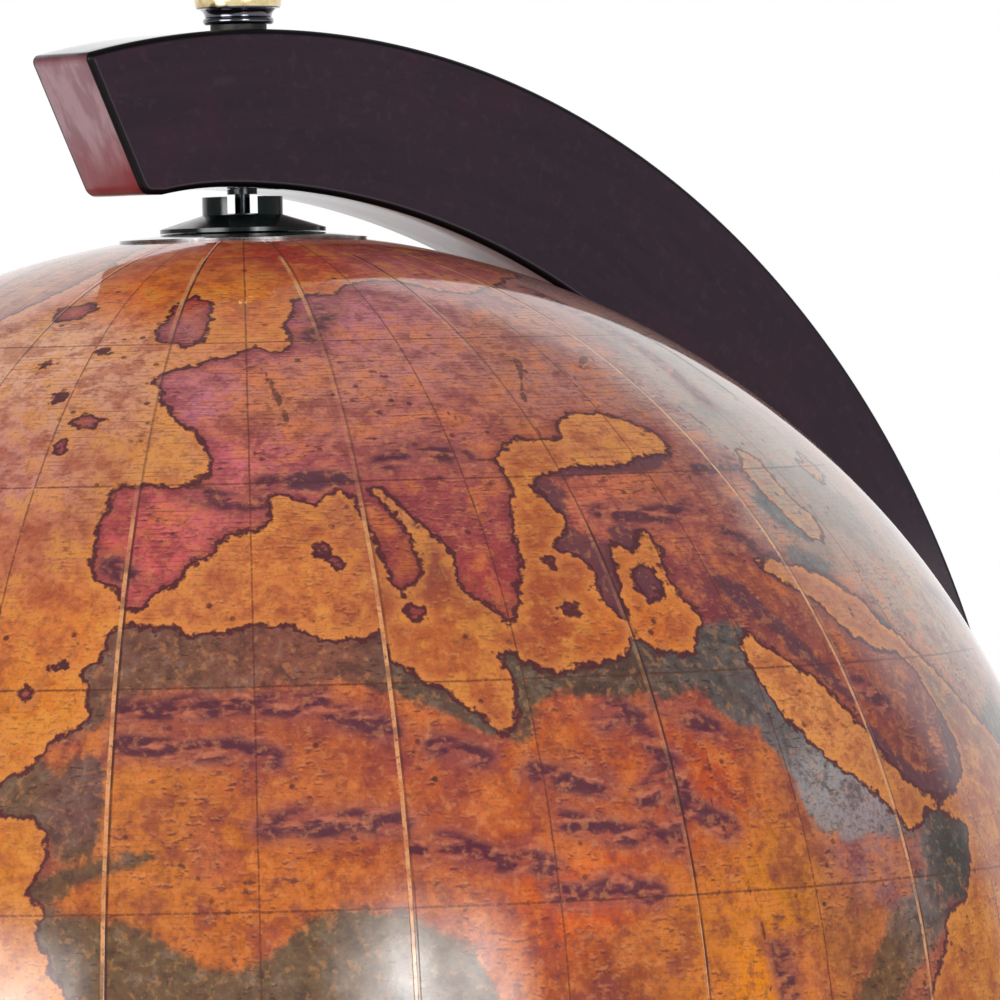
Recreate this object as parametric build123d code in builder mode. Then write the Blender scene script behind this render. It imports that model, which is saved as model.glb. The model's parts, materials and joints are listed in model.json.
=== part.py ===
"""A desktop globe that spins between two pivots in a crescent-shaped wooden arm.

The arm stands in the XZ plane with its back towards +X, the polar axis is Z, and the origin is
the centre of the felt foot. All sizes are in millimetres.
"""

import os
from math import acos, atan2, cos, degrees, radians, sin, sqrt, tan

from build123d import *

# ---------------------------------------------------------------- driving dimensions

# Clearances
running_clearance = 0.05    # radial, pivot journal in its bush
push_clearance = 0.05       # radial, pieces that are pushed or screwed together
drill_clearance = 0.25      # radial, bolt and dowel ends in wood
glue_line = 0.02            # between faces that are glued together
axial_clearance = 0.05      # between the lower bush and its thrust washer

# Ball
ball_radius = 165.0
shell_wall = 2.5
ring_width = 24.0           # hoop inside the equator
ring_wall = 1.6
tape_width = 6.0            # paper tape over the equator
tape_thickness = 0.25

# Polar bushes
bush_radius = 8.0
bush_rise = 7.0             # top of the bush above the pole
slot_width = 6.0
slot_depth = 3.4
slot_bearing = 51.0         # degrees from the arm's plane, as the globe rests
cone_rise = 3.4             # top of the flange's cone above the pole, at the bush
flange_radius = 16.5
flange_edge = 0.8
flange_clearance = 0.25     # between the flange's edge and the disc
hub_radius = 10.0           # part of the flange that bears on the disc
sleeve_radius = 6.0
thread_tail = 2.0           # length of the sleeve below its nut
disc_radius = 24.7          # thin dished disc that follows the ball
disc_thickness = 0.5
nut_radius = 12.0           # across the corners
nut_height = 4.0

# Pivots
journal_radius = 1.5
journal_length = 15.0
pivot_collar_radius = 3.0
pivot_collar_height = 1.0
shank_radius = 2.5
lower_shank_length = 14.0
upper_thread_length = 12.0  # length of the shank inside the finial
thrust_washer_radius = 5.0
thrust_washer_height = 0.45

# Arm
arm_thickness = 19.0
arm_depth = 31.5            # along the polar axis
arm_waist = 34.2            # at the equator
arm_edge = 1.3              # radius of the eased edges
bow_shift = 10.4            # centre of the inner bow, behind the axis
bow_drop = 13.0             # centre of the inner bow, past the ball's centre
land_drop = 1.2             # flat land near each tip, below the bow's height on the axis
land_reach = 27.0           # start of the flat land beyond the axis
tip_reach = 45.6            # tip beyond the axis
tip_slant = 26.4            # degrees between the end cut and the axis
tip_heel = 3.0              # corner radius, inner corner of the end cut
tip_toe = 0.8               # corner radius, outer corner of the end cut
seat_length = 40.0          # flat seat under the lower end

# Finial
finial_washer_radius = 5.6
finial_washer_height = 1.1
finial_foot_radius = 7.1
finial_foot_height = 1.6    # half-round foot
finial_cove = 1.6           # radius of the cove over the foot
finial_swell = 0.4          # body's belly outside the cove's top edge
finial_body_radius = 8.7
finial_belly_height = 3.5   # heights over the cove
finial_shoulder_height = 8.5
finial_shoulder_radius = 6.4
finial_neck_height = 12.5
finial_neck_radius = 2.4
finial_hollow = 0.8         # depth of the hollow between shoulder and neck
finial_tip_radius = 3.2

# Collar
collar_height = 5.0
collar_margin = 0.8         # collar's top outside the corners of the arm's seat
collar_flare = 3.0          # collar's rim outside its top
collar_rim_height = 2.6     # half-round rim
collar_cove = 0.6           # depth of the cove over the rim

# Pedestal
pedestal_height = 38.0
pedestal_foot_radius = 40.0
pedestal_foot_height = 6.0  # half-round foot
pedestal_step = 4.0         # step in over the foot
pedestal_cove = 4.5         # depth of the long cove
pedestal_neck_radius = 18.5
pedestal_neck_height = 21.0
pedestal_flare = 0.9        # depth of the flare under the crown
crown_height = 4.0
crown_swell = 1.2
crown_inset = 0.8           # crown's top inside the collar's rim

# Cap and plinth
cap_radius = 74.0
cap_height = 11.0
cap_bead_height = 5.6       # half-round bead at the foot
cap_step = 1.5
cap_cove_run = 7.0
cap_cove = 1.6
plinth_radius = 115.0
plinth_height = 21.0
plinth_foot_height = 5.0
plinth_foot_edge = 0.8
plinth_step = 2.0
plinth_ogee_run = 18.0
plinth_ogee_height = 12.5
plinth_ogee_swell = 1.6
plinth_ledge = 2.0
felt_margin = 6.0           # felt's edge inside the plinth's edge
felt_thickness = 2.0

# Fastening of the arm to the base
bolt_radius = 4.0
bolt_head_radius = 7.0
bolt_head_height = 5.0
bolt_engagement = 10.0      # length of the bolt inside the insert
washer_radius = 12.0
washer_height = 1.6
recess_radius = 14.0        # pocket for the bolt's head under the plinth
recess_depth = 10.0
insert_wall = 2.0
insert_length = 12.0
dowel_radius = 2.5
dowel_offset = 13.5         # dowels from the axis, along the arm
dowel_bite = 10.0           # length of a dowel in the arm, and in the pedestal
end_gap = 0.5               # under the ends of dowels, insert and pivots

# ---------------------------------------------------------------- derived places

plinth_z = felt_thickness
cap_z = plinth_z + plinth_height
pedestal_z = cap_z + cap_height
collar_z = pedestal_z + pedestal_height
seat_z = collar_z + collar_height

end_play = thrust_washer_height + axial_clearance
inner_height = ball_radius + bush_rise + pivot_collar_height + end_play
outer_radius = inner_height + arm_depth
seat_distance = sqrt(outer_radius**2 - (seat_length / 2) ** 2)
centre_z = seat_z + seat_distance

underside = centre_z + inner_height
lower_seat = centre_z - inner_height
arm_top = centre_z + outer_radius
finial_seat = arm_top + finial_washer_height

shank_hole_radius = shank_radius + push_clearance
spot_face_radius = pivot_collar_radius + drill_clearance
insert_radius = bolt_radius + insert_wall
bolt_hole_radius = bolt_radius + drill_clearance

ball_section = Plane((0, 0, centre_z), x_dir=(1, 0, 0), z_dir=(0, -1, 0))
ball_middle = Plane.XY.offset(centre_z)

shell_inner_radius = ball_radius - shell_wall
sleeve_hole_radius = sleeve_radius + push_clearance
nut_top = sqrt(shell_inner_radius**2 - nut_radius**2) - glue_line
nut_bottom = nut_top - nut_height
bush_bottom = nut_bottom - thread_tail
bush_top = ball_radius + bush_rise
journal_hole_radius = journal_radius + running_clearance

upwards = (Align.CENTER, Align.CENTER, Align.MIN)

os.makedirs("parts", exist_ok=True)


def write(part, name):
    """Label a finished piece and write it to its own STEP file."""
    part.label = name
    export_step(part, f"parts/{name}.step")


def polar(radius, angle):
    """A point at a radius and an angle in degrees from the sketch's X axis."""
    return (radius * cos(radians(angle)), radius * sin(radians(angle)))


def outline(*points):
    """The face inside a closed chain of straight sides, to be added to a sketch."""
    with BuildSketch() as face:
        with BuildLine():
            Polyline(*points, close=True)
        make_face()
    return face.sketch


def cylinder_at(radius, low, high, mode=Mode.ADD):
    """A cylinder on the polar axis between two heights."""
    with Locations((0, 0, low)):
        Cylinder(radius, high - low, align=upwards, mode=mode)


def dowel_places(height):
    """The places of both dowels at a height."""
    return [(-dowel_offset, 0, height), (dowel_offset, 0, height)]


def on_outer_arc(x):
    """Height of the arm's outer arc over the ball's centre, at a place along the arm."""
    return sqrt(outer_radius**2 - x**2)


# ---------------------------------------------------------------- ball

seam = degrees(glue_line / 2 / ball_radius)
tape_half_angle = degrees(tape_width / 2 / ball_radius)
ring_half_angle = degrees(ring_width / 2 / shell_inner_radius)


def zone(radius, thickness, low_angle, high_angle):
    """The section of a spherical zone between two latitudes, to be added to a sketch."""
    middle = (low_angle + high_angle) / 2
    inner = radius - thickness
    with BuildSketch() as face:
        with BuildLine():
            ThreePointArc(polar(radius, low_angle), polar(radius, middle), polar(radius, high_angle))
            Line(polar(radius, high_angle), polar(inner, high_angle))
            ThreePointArc(polar(inner, high_angle), polar(inner, middle), polar(inner, low_angle))
            Line(polar(inner, low_angle), polar(radius, low_angle))
        make_face()
    return face.sketch


with BuildPart() as north_hemisphere:
    with BuildSketch(ball_section):
        add(zone(ball_radius, shell_wall, seam, 90))
    revolve(axis=Axis.Z)
    with Locations((0, 0, centre_z + ball_radius)):
        Hole(sleeve_hole_radius, depth=2 * shell_wall)
write(north_hemisphere.part, "north_hemisphere")

with BuildPart() as south_hemisphere:
    mirror(north_hemisphere.part, about=ball_middle)
write(south_hemisphere.part, "south_hemisphere")

with BuildPart() as joining_ring:
    with BuildSketch(ball_section):
        add(zone(shell_inner_radius - glue_line, ring_wall, -ring_half_angle, ring_half_angle))
    revolve(axis=Axis.Z)
write(joining_ring.part, "joining_ring")

with BuildPart() as equator_tape:
    with BuildSketch(ball_section):
        add(zone(ball_radius + glue_line + tape_thickness, tape_thickness, -tape_half_angle, tape_half_angle))
    revolve(axis=Axis.Z)
write(equator_tape.part, "equator_tape")

# ---------------------------------------------------------------- polar bushes

disc_inner_radius = ball_radius + glue_line
disc_outer_radius = disc_inner_radius + disc_thickness
disc_edge_angle = degrees(acos(disc_radius / disc_outer_radius))
disc_hole_angle = degrees(acos(sleeve_hole_radius / disc_inner_radius))
hub_seat = disc_outer_radius * sin(radians(disc_hole_angle)) + glue_line
cone_top = ball_radius + cone_rise
flange_underside = sqrt(disc_outer_radius**2 - flange_radius**2) + flange_clearance

with BuildPart() as north_disc:
    with BuildSketch(ball_section):
        add(zone(disc_outer_radius, disc_thickness, disc_edge_angle, disc_hole_angle))
    revolve(axis=Axis.Z)
write(north_disc.part, "north_disc")

with BuildPart() as north_bush:
    with BuildSketch(ball_section):
        add(outline(
            (journal_hole_radius, bush_bottom),
            (sleeve_radius, bush_bottom),
            (sleeve_radius, hub_seat),
            (hub_radius, hub_seat),
            (flange_radius, flange_underside),
            (flange_radius, flange_underside + flange_edge),
            (bush_radius, cone_top),
            (bush_radius, bush_top),
            (journal_hole_radius, bush_top),
        ))
    revolve(axis=Axis.Z)
    slot_floor = Plane.XY.offset(centre_z + bush_top - slot_depth).rotated((0, 0, slot_bearing))
    with BuildSketch(slot_floor):
        Rectangle(2 * bush_radius + slot_width, slot_width)
    extrude(amount=slot_depth, mode=Mode.SUBTRACT)
write(north_bush.part, "north_bush")

with BuildPart() as north_nut:
    with BuildSketch(Plane.XY.offset(centre_z + nut_bottom)):
        RegularPolygon(nut_radius, 6)
        Circle(sleeve_hole_radius, mode=Mode.SUBTRACT)
    extrude(amount=nut_height)
write(north_nut.part, "north_nut")

with BuildPart() as south_disc:
    mirror(north_disc.part, about=ball_middle)
write(south_disc.part, "south_disc")

with BuildPart() as south_bush:
    mirror(north_bush.part, about=ball_middle)
write(south_bush.part, "south_bush")

with BuildPart() as south_nut:
    mirror(north_nut.part, about=ball_middle)
write(south_nut.part, "south_nut")

# ---------------------------------------------------------------- arm

bow_centre = (-bow_shift, -bow_drop)
bow_radius = sqrt(bow_shift**2 + (inner_height + bow_drop) ** 2)
bow_top = (-bow_shift, bow_radius - bow_drop)
waist_inside = outer_radius - arm_waist
waist_radius = (bow_radius**2 - (waist_inside + bow_shift) ** 2 - bow_drop**2) / (
    2 * (bow_radius - waist_inside - bow_shift)
)
waist_centre = waist_inside - waist_radius
waist_start = degrees(atan2(bow_drop, waist_centre + bow_shift))

land_height = inner_height - land_drop
land_end = (-land_reach, land_height)
toe = (-tip_reach, on_outer_arc(tip_reach))
heel = ((toe[1] - land_height) * tan(radians(tip_slant)) - tip_reach, land_height)


def on_bow(angle):
    """A point on the arm's upper inner bow."""
    x, z = polar(bow_radius, angle)
    return (bow_centre[0] + x, bow_centre[1] + z)


upper_bow = [bow_top, on_bow((90 + waist_start) / 2), on_bow(waist_start)]


def flipped(point):
    """The same point at the lower end of the arm."""
    return (point[0], -point[1])


with BuildPart() as arm:
    with BuildSketch(ball_section) as arm_outline:
        with BuildLine():
            ThreePointArc(toe, (outer_radius, 0), flipped(toe))
            Polyline(toe, heel, land_end)
            TangentArc(bow_top, land_end, tangent=(-1, 0))
            ThreePointArc(*upper_bow)
            ThreePointArc(upper_bow[2], (waist_inside, 0), flipped(upper_bow[2]))
            ThreePointArc(*[flipped(point) for point in upper_bow])
            TangentArc(flipped(bow_top), flipped(land_end), tangent=(-1, 0))
            Polyline(flipped(toe), flipped(heel), flipped(land_end))
        make_face()
        fillet(arm_outline.vertices().group_by(Axis.X)[1], tip_heel)
        fillet(arm_outline.vertices().group_by(Axis.X)[0], tip_toe)
    extrude(amount=arm_thickness / 2, both=True)
    fillet(arm.faces().filter_by(Axis.Y).edges(), arm_edge)
    # Flat seat under the lower end
    with Locations((0, 0, seat_z - arm_depth)):
        Box(2 * seat_length, 2 * arm_thickness, arm_depth, align=upwards, mode=Mode.SUBTRACT)
    # Spot faces under the pivots' collars, then the holes of the shanks
    cylinder_at(spot_face_radius, underside - pivot_collar_height, underside, Mode.SUBTRACT)
    cylinder_at(spot_face_radius, lower_seat, lower_seat + pivot_collar_height, Mode.SUBTRACT)
    cylinder_at(shank_hole_radius, underside, arm_top, Mode.SUBTRACT)
    cylinder_at(shank_hole_radius, lower_seat - lower_shank_length - end_gap, lower_seat, Mode.SUBTRACT)
    # Insert and dowels, from the seat
    cylinder_at(insert_radius + push_clearance, seat_z, seat_z + insert_length + end_gap, Mode.SUBTRACT)
    with Locations(*dowel_places(seat_z)):
        Cylinder(dowel_radius + push_clearance, dowel_bite + end_gap, align=upwards, mode=Mode.SUBTRACT)
write(arm.part, "arm")

# ---------------------------------------------------------------- pivots and finial


with BuildPart() as upper_pivot:
    cylinder_at(journal_radius, underside - pivot_collar_height - journal_length, underside)
    cylinder_at(pivot_collar_radius, underside - pivot_collar_height, underside)
    cylinder_at(shank_radius, underside, finial_seat + upper_thread_length)
write(upper_pivot.part, "upper_pivot")

with BuildPart() as lower_pivot:
    cylinder_at(journal_radius, lower_seat, lower_seat + pivot_collar_height + journal_length)
    cylinder_at(pivot_collar_radius, lower_seat, lower_seat + pivot_collar_height)
    cylinder_at(shank_radius, lower_seat - lower_shank_length, lower_seat)
write(lower_pivot.part, "lower_pivot")

washer_seat = lower_seat + pivot_collar_height
with BuildPart() as thrust_washer:
    cylinder_at(thrust_washer_radius, washer_seat, washer_seat + thrust_washer_height)
    cylinder_at(journal_hole_radius, washer_seat, washer_seat + thrust_washer_height, Mode.SUBTRACT)
write(thrust_washer.part, "thrust_washer")

with BuildPart() as finial_washer:
    cylinder_at(finial_washer_radius, arm_top, finial_seat)
    cylinder_at(shank_hole_radius, arm_top, finial_seat, Mode.SUBTRACT)
write(finial_washer.part, "finial_washer")



def turning(low):
    """The half section plane of a turned piece that starts at a height."""
    return Plane((0, 0, low), x_dir=(1, 0, 0), z_dir=(0, -1, 0))


foot_rim = finial_foot_radius - finial_foot_height / 2
cove_top = finial_foot_height + finial_cove
cove_rim = finial_body_radius - finial_swell
belly = (finial_body_radius, cove_top + finial_belly_height)
shoulder = (finial_shoulder_radius, cove_top + finial_shoulder_height)
neck = (finial_neck_radius, cove_top + finial_neck_height)
tip_centre = neck[1] + sqrt(finial_tip_radius**2 - finial_neck_radius**2)

with BuildPart() as finial:
    with BuildSketch(turning(finial_seat)):
        with BuildLine():
            # Half-round foot, cove, swelling body, hollow neck, round tip
            Polyline((0, tip_centre + finial_tip_radius), (0, 0), (foot_rim, 0))
            SagittaArc((foot_rim, 0), (foot_rim, finial_foot_height), -finial_foot_height / 2)
            Line((foot_rim, finial_foot_height), (cove_rim - finial_cove, finial_foot_height))
            CenterArc((cove_rim, finial_foot_height), finial_cove, 90, 90)
            ThreePointArc((cove_rim, cove_top), belly, shoulder)
            SagittaArc(shoulder, neck, finial_hollow)
            ThreePointArc(neck, (finial_tip_radius, tip_centre), (0, tip_centre + finial_tip_radius))
        make_face()
    revolve(axis=Axis.Z)
    cylinder_at(shank_hole_radius, finial_seat, finial_seat + upper_thread_length + end_gap, Mode.SUBTRACT)
write(finial.part, "finial")

# ---------------------------------------------------------------- collar and pedestal

collar_top_radius = sqrt((seat_length / 2) ** 2 + (arm_thickness / 2) ** 2) + collar_margin
collar_rim = collar_top_radius + collar_flare - collar_rim_height / 2
crown_radius = collar_rim - crown_inset

with BuildPart() as collar:
    with BuildSketch(turning(collar_z)):
        with BuildLine():
            Polyline((collar_top_radius, collar_height), (0, collar_height), (0, 0), (collar_rim, 0))
            SagittaArc((collar_rim, 0), (collar_rim, collar_rim_height), -collar_rim_height / 2)
            SagittaArc((collar_rim, collar_rim_height), (collar_top_radius, collar_height), collar_cove)
        make_face()
    revolve(axis=Axis.Z)
    cylinder_at(bolt_hole_radius, collar_z, seat_z, Mode.SUBTRACT)
    with Locations(*dowel_places(collar_z)):
        Cylinder(dowel_radius + push_clearance, collar_height, align=upwards, mode=Mode.SUBTRACT)
write(collar.part, "collar")

with BuildPart() as pedestal:
    with BuildSketch(turning(pedestal_z)):
        with BuildLine():
            foot = pedestal_foot_radius - pedestal_foot_height / 2
            step = (foot - pedestal_step, pedestal_foot_height)
            waist = (pedestal_neck_radius, pedestal_neck_height)
            crown = (crown_radius, pedestal_height - crown_height)
            Polyline((crown_radius, pedestal_height), (0, pedestal_height), (0, 0), (foot, 0))
            SagittaArc((foot, 0), (foot, pedestal_foot_height), -pedestal_foot_height / 2)
            Line((foot, pedestal_foot_height), step)
            SagittaArc(step, waist, pedestal_cove)
            SagittaArc(waist, crown, pedestal_flare)
            SagittaArc(crown, (crown_radius, pedestal_height), -crown_swell)
        make_face()
    revolve(axis=Axis.Z)
    cylinder_at(bolt_hole_radius, pedestal_z, collar_z, Mode.SUBTRACT)
    with Locations(*dowel_places(collar_z - dowel_bite - end_gap)):
        Cylinder(dowel_radius + push_clearance, dowel_bite + end_gap, align=upwards, mode=Mode.SUBTRACT)
write(pedestal.part, "pedestal")

# ---------------------------------------------------------------- base

with BuildPart() as base_cap:
    with BuildSketch(turning(cap_z)):
        with BuildLine():
            bead = cap_radius - cap_bead_height / 2
            ledge = (bead - cap_step, cap_bead_height)
            Polyline((ledge[0] - cap_cove_run, cap_height), (0, cap_height), (0, 0), (bead, 0))
            SagittaArc((bead, 0), (bead, cap_bead_height), -cap_bead_height / 2)
            Line((bead, cap_bead_height), ledge)
            SagittaArc(ledge, (ledge[0] - cap_cove_run, cap_height), cap_cove)
        make_face()
    revolve(axis=Axis.Z)
    cylinder_at(bolt_hole_radius, cap_z, pedestal_z, Mode.SUBTRACT)
write(base_cap.part, "base_cap")

with BuildPart() as plinth:
    with BuildSketch(turning(plinth_z)):
        with BuildLine():
            foot_top = (plinth_radius - plinth_foot_edge, plinth_foot_height)
            ogee_start = (foot_top[0] - plinth_step, plinth_foot_height)
            ogee_end = (ogee_start[0] - plinth_ogee_run, plinth_foot_height + plinth_ogee_height)
            ogee_middle = ((ogee_start[0] + ogee_end[0]) / 2, (ogee_start[1] + ogee_end[1]) / 2)
            bead_root = ogee_end[0] - plinth_ledge
            bead_radius = (plinth_height - ogee_end[1]) / 2
            Polyline(
                (bead_root, plinth_height),
                (0, plinth_height),
                (0, 0),
                (plinth_radius - plinth_foot_edge, 0),
                (plinth_radius, plinth_foot_edge),
                (plinth_radius, plinth_foot_height - plinth_foot_edge),
                foot_top,
                ogee_start,
            )
            SagittaArc(ogee_start, ogee_middle, -plinth_ogee_swell)
            SagittaArc(ogee_middle, ogee_end, plinth_ogee_swell)
            Line(ogee_end, (bead_root, ogee_end[1]))
            SagittaArc((bead_root, ogee_end[1]), (bead_root, plinth_height), -bead_radius)
        make_face()
    revolve(axis=Axis.Z)
    cylinder_at(bolt_hole_radius, plinth_z, cap_z, Mode.SUBTRACT)
    cylinder_at(recess_radius, plinth_z, plinth_z + recess_depth, Mode.SUBTRACT)
write(plinth.part, "plinth")

with BuildPart() as felt_pad:
    cylinder_at(plinth_radius - felt_margin, 0, felt_thickness)
write(felt_pad.part, "felt_pad")

# ---------------------------------------------------------------- fastening

washer_z = plinth_z + recess_depth - washer_height
head_z = washer_z - bolt_head_height

with BuildPart() as base_washer:
    cylinder_at(washer_radius, washer_z, washer_z + washer_height)
    cylinder_at(bolt_hole_radius, washer_z, washer_z + washer_height, Mode.SUBTRACT)
write(base_washer.part, "base_washer")

with BuildPart() as base_bolt:
    with BuildSketch(Plane.XY.offset(head_z)):
        RegularPolygon(bolt_head_radius, 6)
    extrude(amount=bolt_head_height)
    cylinder_at(bolt_radius, washer_z, seat_z + bolt_engagement)
write(base_bolt.part, "base_bolt")

with BuildPart() as arm_insert:
    cylinder_at(insert_radius, seat_z, seat_z + insert_length)
    cylinder_at(bolt_radius + push_clearance, seat_z, seat_z + insert_length, Mode.SUBTRACT)
write(arm_insert.part, "arm_insert")

with BuildPart() as locating_dowels:
    with Locations(*dowel_places(collar_z - dowel_bite)):
        Cylinder(dowel_radius, 2 * dowel_bite + collar_height, align=upwards)
write(locating_dowels.part, "locating_dowels")
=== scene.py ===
"""The looks of the desktop globe: printed and varnished ball, stained wood, brass and felt."""

import json
import math

import bpy
import numpy as np
from mathutils import Matrix, Vector


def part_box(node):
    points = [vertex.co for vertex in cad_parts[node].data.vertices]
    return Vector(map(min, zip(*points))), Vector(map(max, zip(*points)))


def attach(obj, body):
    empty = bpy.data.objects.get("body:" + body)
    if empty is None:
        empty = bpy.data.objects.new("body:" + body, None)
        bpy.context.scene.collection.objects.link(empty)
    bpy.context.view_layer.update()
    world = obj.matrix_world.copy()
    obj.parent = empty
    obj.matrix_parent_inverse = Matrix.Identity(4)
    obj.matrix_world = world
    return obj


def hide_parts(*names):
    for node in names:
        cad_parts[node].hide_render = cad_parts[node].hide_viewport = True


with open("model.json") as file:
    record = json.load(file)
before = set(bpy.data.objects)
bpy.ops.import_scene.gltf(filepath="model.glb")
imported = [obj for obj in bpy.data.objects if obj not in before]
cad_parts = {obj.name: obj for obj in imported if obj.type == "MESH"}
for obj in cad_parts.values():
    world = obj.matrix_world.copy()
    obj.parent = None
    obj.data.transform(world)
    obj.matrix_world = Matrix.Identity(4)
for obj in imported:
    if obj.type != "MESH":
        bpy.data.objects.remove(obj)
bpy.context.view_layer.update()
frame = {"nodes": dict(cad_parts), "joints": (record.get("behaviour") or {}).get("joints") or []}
nodes = frame["nodes"]

# ---------------------------------------------------------------- places and sizes

mm = 0.001                  # a millimetre in the scene's metres
facing = -128.9             # bearing of the map's middle meridian, in degrees from +X

centre = Vector(frame["joints"][0]["pos_m"])
ball_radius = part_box("north_hemisphere")[1].x
arm_low, arm_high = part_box("arm")

# The arcs of the arm's outline, in millimetres about the ball's centre, in its own plane
inner_height, outer_arc, arm_waist = 173.5, arm_high.x / mm, 34.2
bow_shift, bow_drop, land_reach, land_drop = 10.4, 13.0, 27.0, 1.2
tip_reach, tip_slant, tip_heel, tip_toe, arm_edge = 45.6, 26.4, 3.0, 1.4, 1.3


# ---------------------------------------------------------------- camera

def look():
    """The camera at the photograph's viewing angle."""
    bearing, height, roll = math.radians(-38.974), math.radians(4.655), math.radians(-1.263)
    distance, aim_right, aim_up = 1.71105, 0.049864, 0.110669
    across = Vector((math.cos(bearing), math.sin(bearing), 0))
    level = math.cos(height)
    back = Vector((math.sin(bearing) * level, -math.cos(bearing) * level, math.sin(height)))
    place = centre + back * distance
    aim = centre + across * aim_right + Vector((0, 0, aim_up))
    ahead = (aim - place).normalized()
    right = ahead.cross(Vector((0, 0, 1))).normalized()
    up = right.cross(ahead)
    right, up = (
        right * math.cos(roll) + up * math.sin(roll),
        up * math.cos(roll) - right * math.sin(roll),
    )
    lens = bpy.data.cameras.new("camera")
    lens.sensor_width = 36
    lens.lens = 308.85
    lens.clip_end = 100
    camera = bpy.data.objects.new("camera", lens)
    camera.matrix_world = Matrix((
        (right.x, up.x, -ahead.x, place.x),
        (right.y, up.y, -ahead.y, place.y),
        (right.z, up.z, -ahead.z, place.z),
        (0, 0, 0, 1),
    ))
    bpy.context.scene.collection.objects.link(camera)
    bpy.context.scene.camera = camera
    return across, Vector((back.x, back.y, 0)).normalized()


across, towards = look()
bpy.context.scene.view_settings.view_transform = "Standard"


# ---------------------------------------------------------------- shader nodes written as sums

def rgb(red, green, blue):
    """A colour from 0 to 255 as the shader wants it."""
    def linear(value):
        value /= 255
        return value / 12.92 if value <= 0.04045 else ((value + 0.055) / 1.055) ** 2.4
    return (linear(red), linear(green), linear(blue), 1.0)


white = (1, 1, 1, 1)


def joined(operation, swapped=False):
    """A method that joins a field and another value with a math node."""
    def join(self, other):
        return self.graph.math(operation, *((other, self) if swapped else (self, other)))
    return join


class Field:
    """A value that varies over a surface. Sums of fields make math nodes."""

    def __init__(self, graph, socket):
        self.graph = graph
        self.socket = socket

    def __abs__(self):
        return self.graph.math("ABSOLUTE", self)

    __add__, __radd__ = joined("ADD"), joined("ADD", True)
    __sub__, __rsub__ = joined("SUBTRACT"), joined("SUBTRACT", True)
    __mul__, __rmul__ = joined("MULTIPLY"), joined("MULTIPLY", True)
    __truediv__ = joined("DIVIDE")


class Graph:
    """The nodes of one new material, or of a tree that is handed in."""

    def __init__(self, name, tree=None):
        if tree is None:
            self.material = bpy.data.materials.new(name)
            self.material.use_nodes = True
            tree = self.material.node_tree
            self.shader = tree.nodes["Principled BSDF"]
        self.tree = tree

    def feed(self, socket, value):
        if isinstance(value, Field):
            self.tree.links.new(value.socket, socket)
        else:
            socket.default_value = value

    def node(self, kind, output=0, inputs=None, **settings):
        made = self.tree.nodes.new(kind)
        for key, value in settings.items():
            setattr(made, key, value)
        for key, value in (inputs or {}).items():
            self.feed(made.inputs[key], value)
        return Field(self, made.outputs[output])

    def math(self, operation, *values):
        return self.node("ShaderNodeMath", operation=operation, inputs=dict(enumerate(values)))

    def ramp(self, value, low, high):
        """0 up to low and 1 from high, smoothly; the other way round if low is above high."""
        return self.node(
            "ShaderNodeMapRange",
            inputs={"Value": value, "From Min": low, "From Max": high},
            interpolation_type="SMOOTHSTEP",
        )

    def spot(self, value, width, blur):
        """1 where the value is within width of 0."""
        return self.ramp(abs(value), width + blur, width)

    def vector(self, x, y, z):
        return self.node("ShaderNodeCombineXYZ", inputs={0: x, 1: y, 2: z})

    def noise(self, place, size, detail=2.0, rough=0.5, seed=0.0):
        """Soft noise from 0 to 1 whose blobs are about a size wide, in the place's unit."""
        shifted = self.node(
            "ShaderNodeVectorMath", operation="MULTIPLY_ADD",
            inputs={0: place, 1: (1 / size, 1 / size, 1 / size), 2: (seed, 1.7 * seed, -2.3 * seed)},
        )
        return self.node(
            "ShaderNodeTexNoise",
            inputs={"Vector": shifted, "Scale": 1.0, "Detail": detail, "Roughness": rough},
        )

    def cells(self, place, size):
        """Distance to scattered points about a size apart."""
        scaled = self.node("ShaderNodeVectorMath", operation="SCALE", inputs={0: place, "Scale": 1 / size})
        return self.node(
            "ShaderNodeTexVoronoi", output="Distance",
            inputs={"Vector": scaled, "Scale": 1.0, "Randomness": 1.0},
        )

    def mix(self, first, second, share):
        return self.node(
            "ShaderNodeMix", output=2, data_type="RGBA",
            inputs={0: share, 6: first, 7: second},
        )

    def layers(self, base, *coats):
        """Colours laid over a base one after another, each as red, green, blue and its share."""
        for red, green, blue, share in coats:
            base = self.mix(base, rgb(red, green, blue), share)
        return base

    def ray(self, kind):
        """1 for rays of a kind, as Camera or Glossy."""
        return self.node("ShaderNodeLightPath", output=f"Is {kind} Ray")

    def dot(self, place, way):
        return self.node(
            "ShaderNodeVectorMath", output="Value", operation="DOT_PRODUCT", inputs={0: place, 1: tuple(way)},
        )

    def attribute(self, name, colour=False):
        return self.node("ShaderNodeAttribute", output="Color" if colour else "Fac", attribute_name=name)

    def place(self, origin=(0, 0, 0)):
        """Millimetres from an origin in the object's own frame."""
        here = self.node("ShaderNodeTexCoord", output="Object")
        moved = self.node("ShaderNodeVectorMath", operation="SUBTRACT", inputs={0: here, 1: tuple(origin)})
        return self.node("ShaderNodeVectorMath", operation="SCALE", inputs={0: moved, "Scale": 1 / mm})

    def parts(self, vector):
        split = self.tree.nodes.new("ShaderNodeSeparateXYZ")
        self.feed(split.inputs[0], vector)
        return [Field(self, split.outputs[i]) for i in range(3)]

    def bump(self, height, depth):
        """A normal bent by a height; depth is what a height of 1 stands for, in millimetres."""
        return self.node("ShaderNodeBump", inputs={"Height": height, "Distance": depth * mm, "Strength": 1.0})

    def set(self, **values):
        """Sets the shader's own sockets; a name's underscores stand for spaces."""
        for key, value in values.items():
            self.feed(self.shader.inputs[key.replace("_", " ")], value)


# ---------------------------------------------------------------- the world map
# Places are (degrees east of the middle meridian, degrees north), drawn freely as on an old map.

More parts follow.
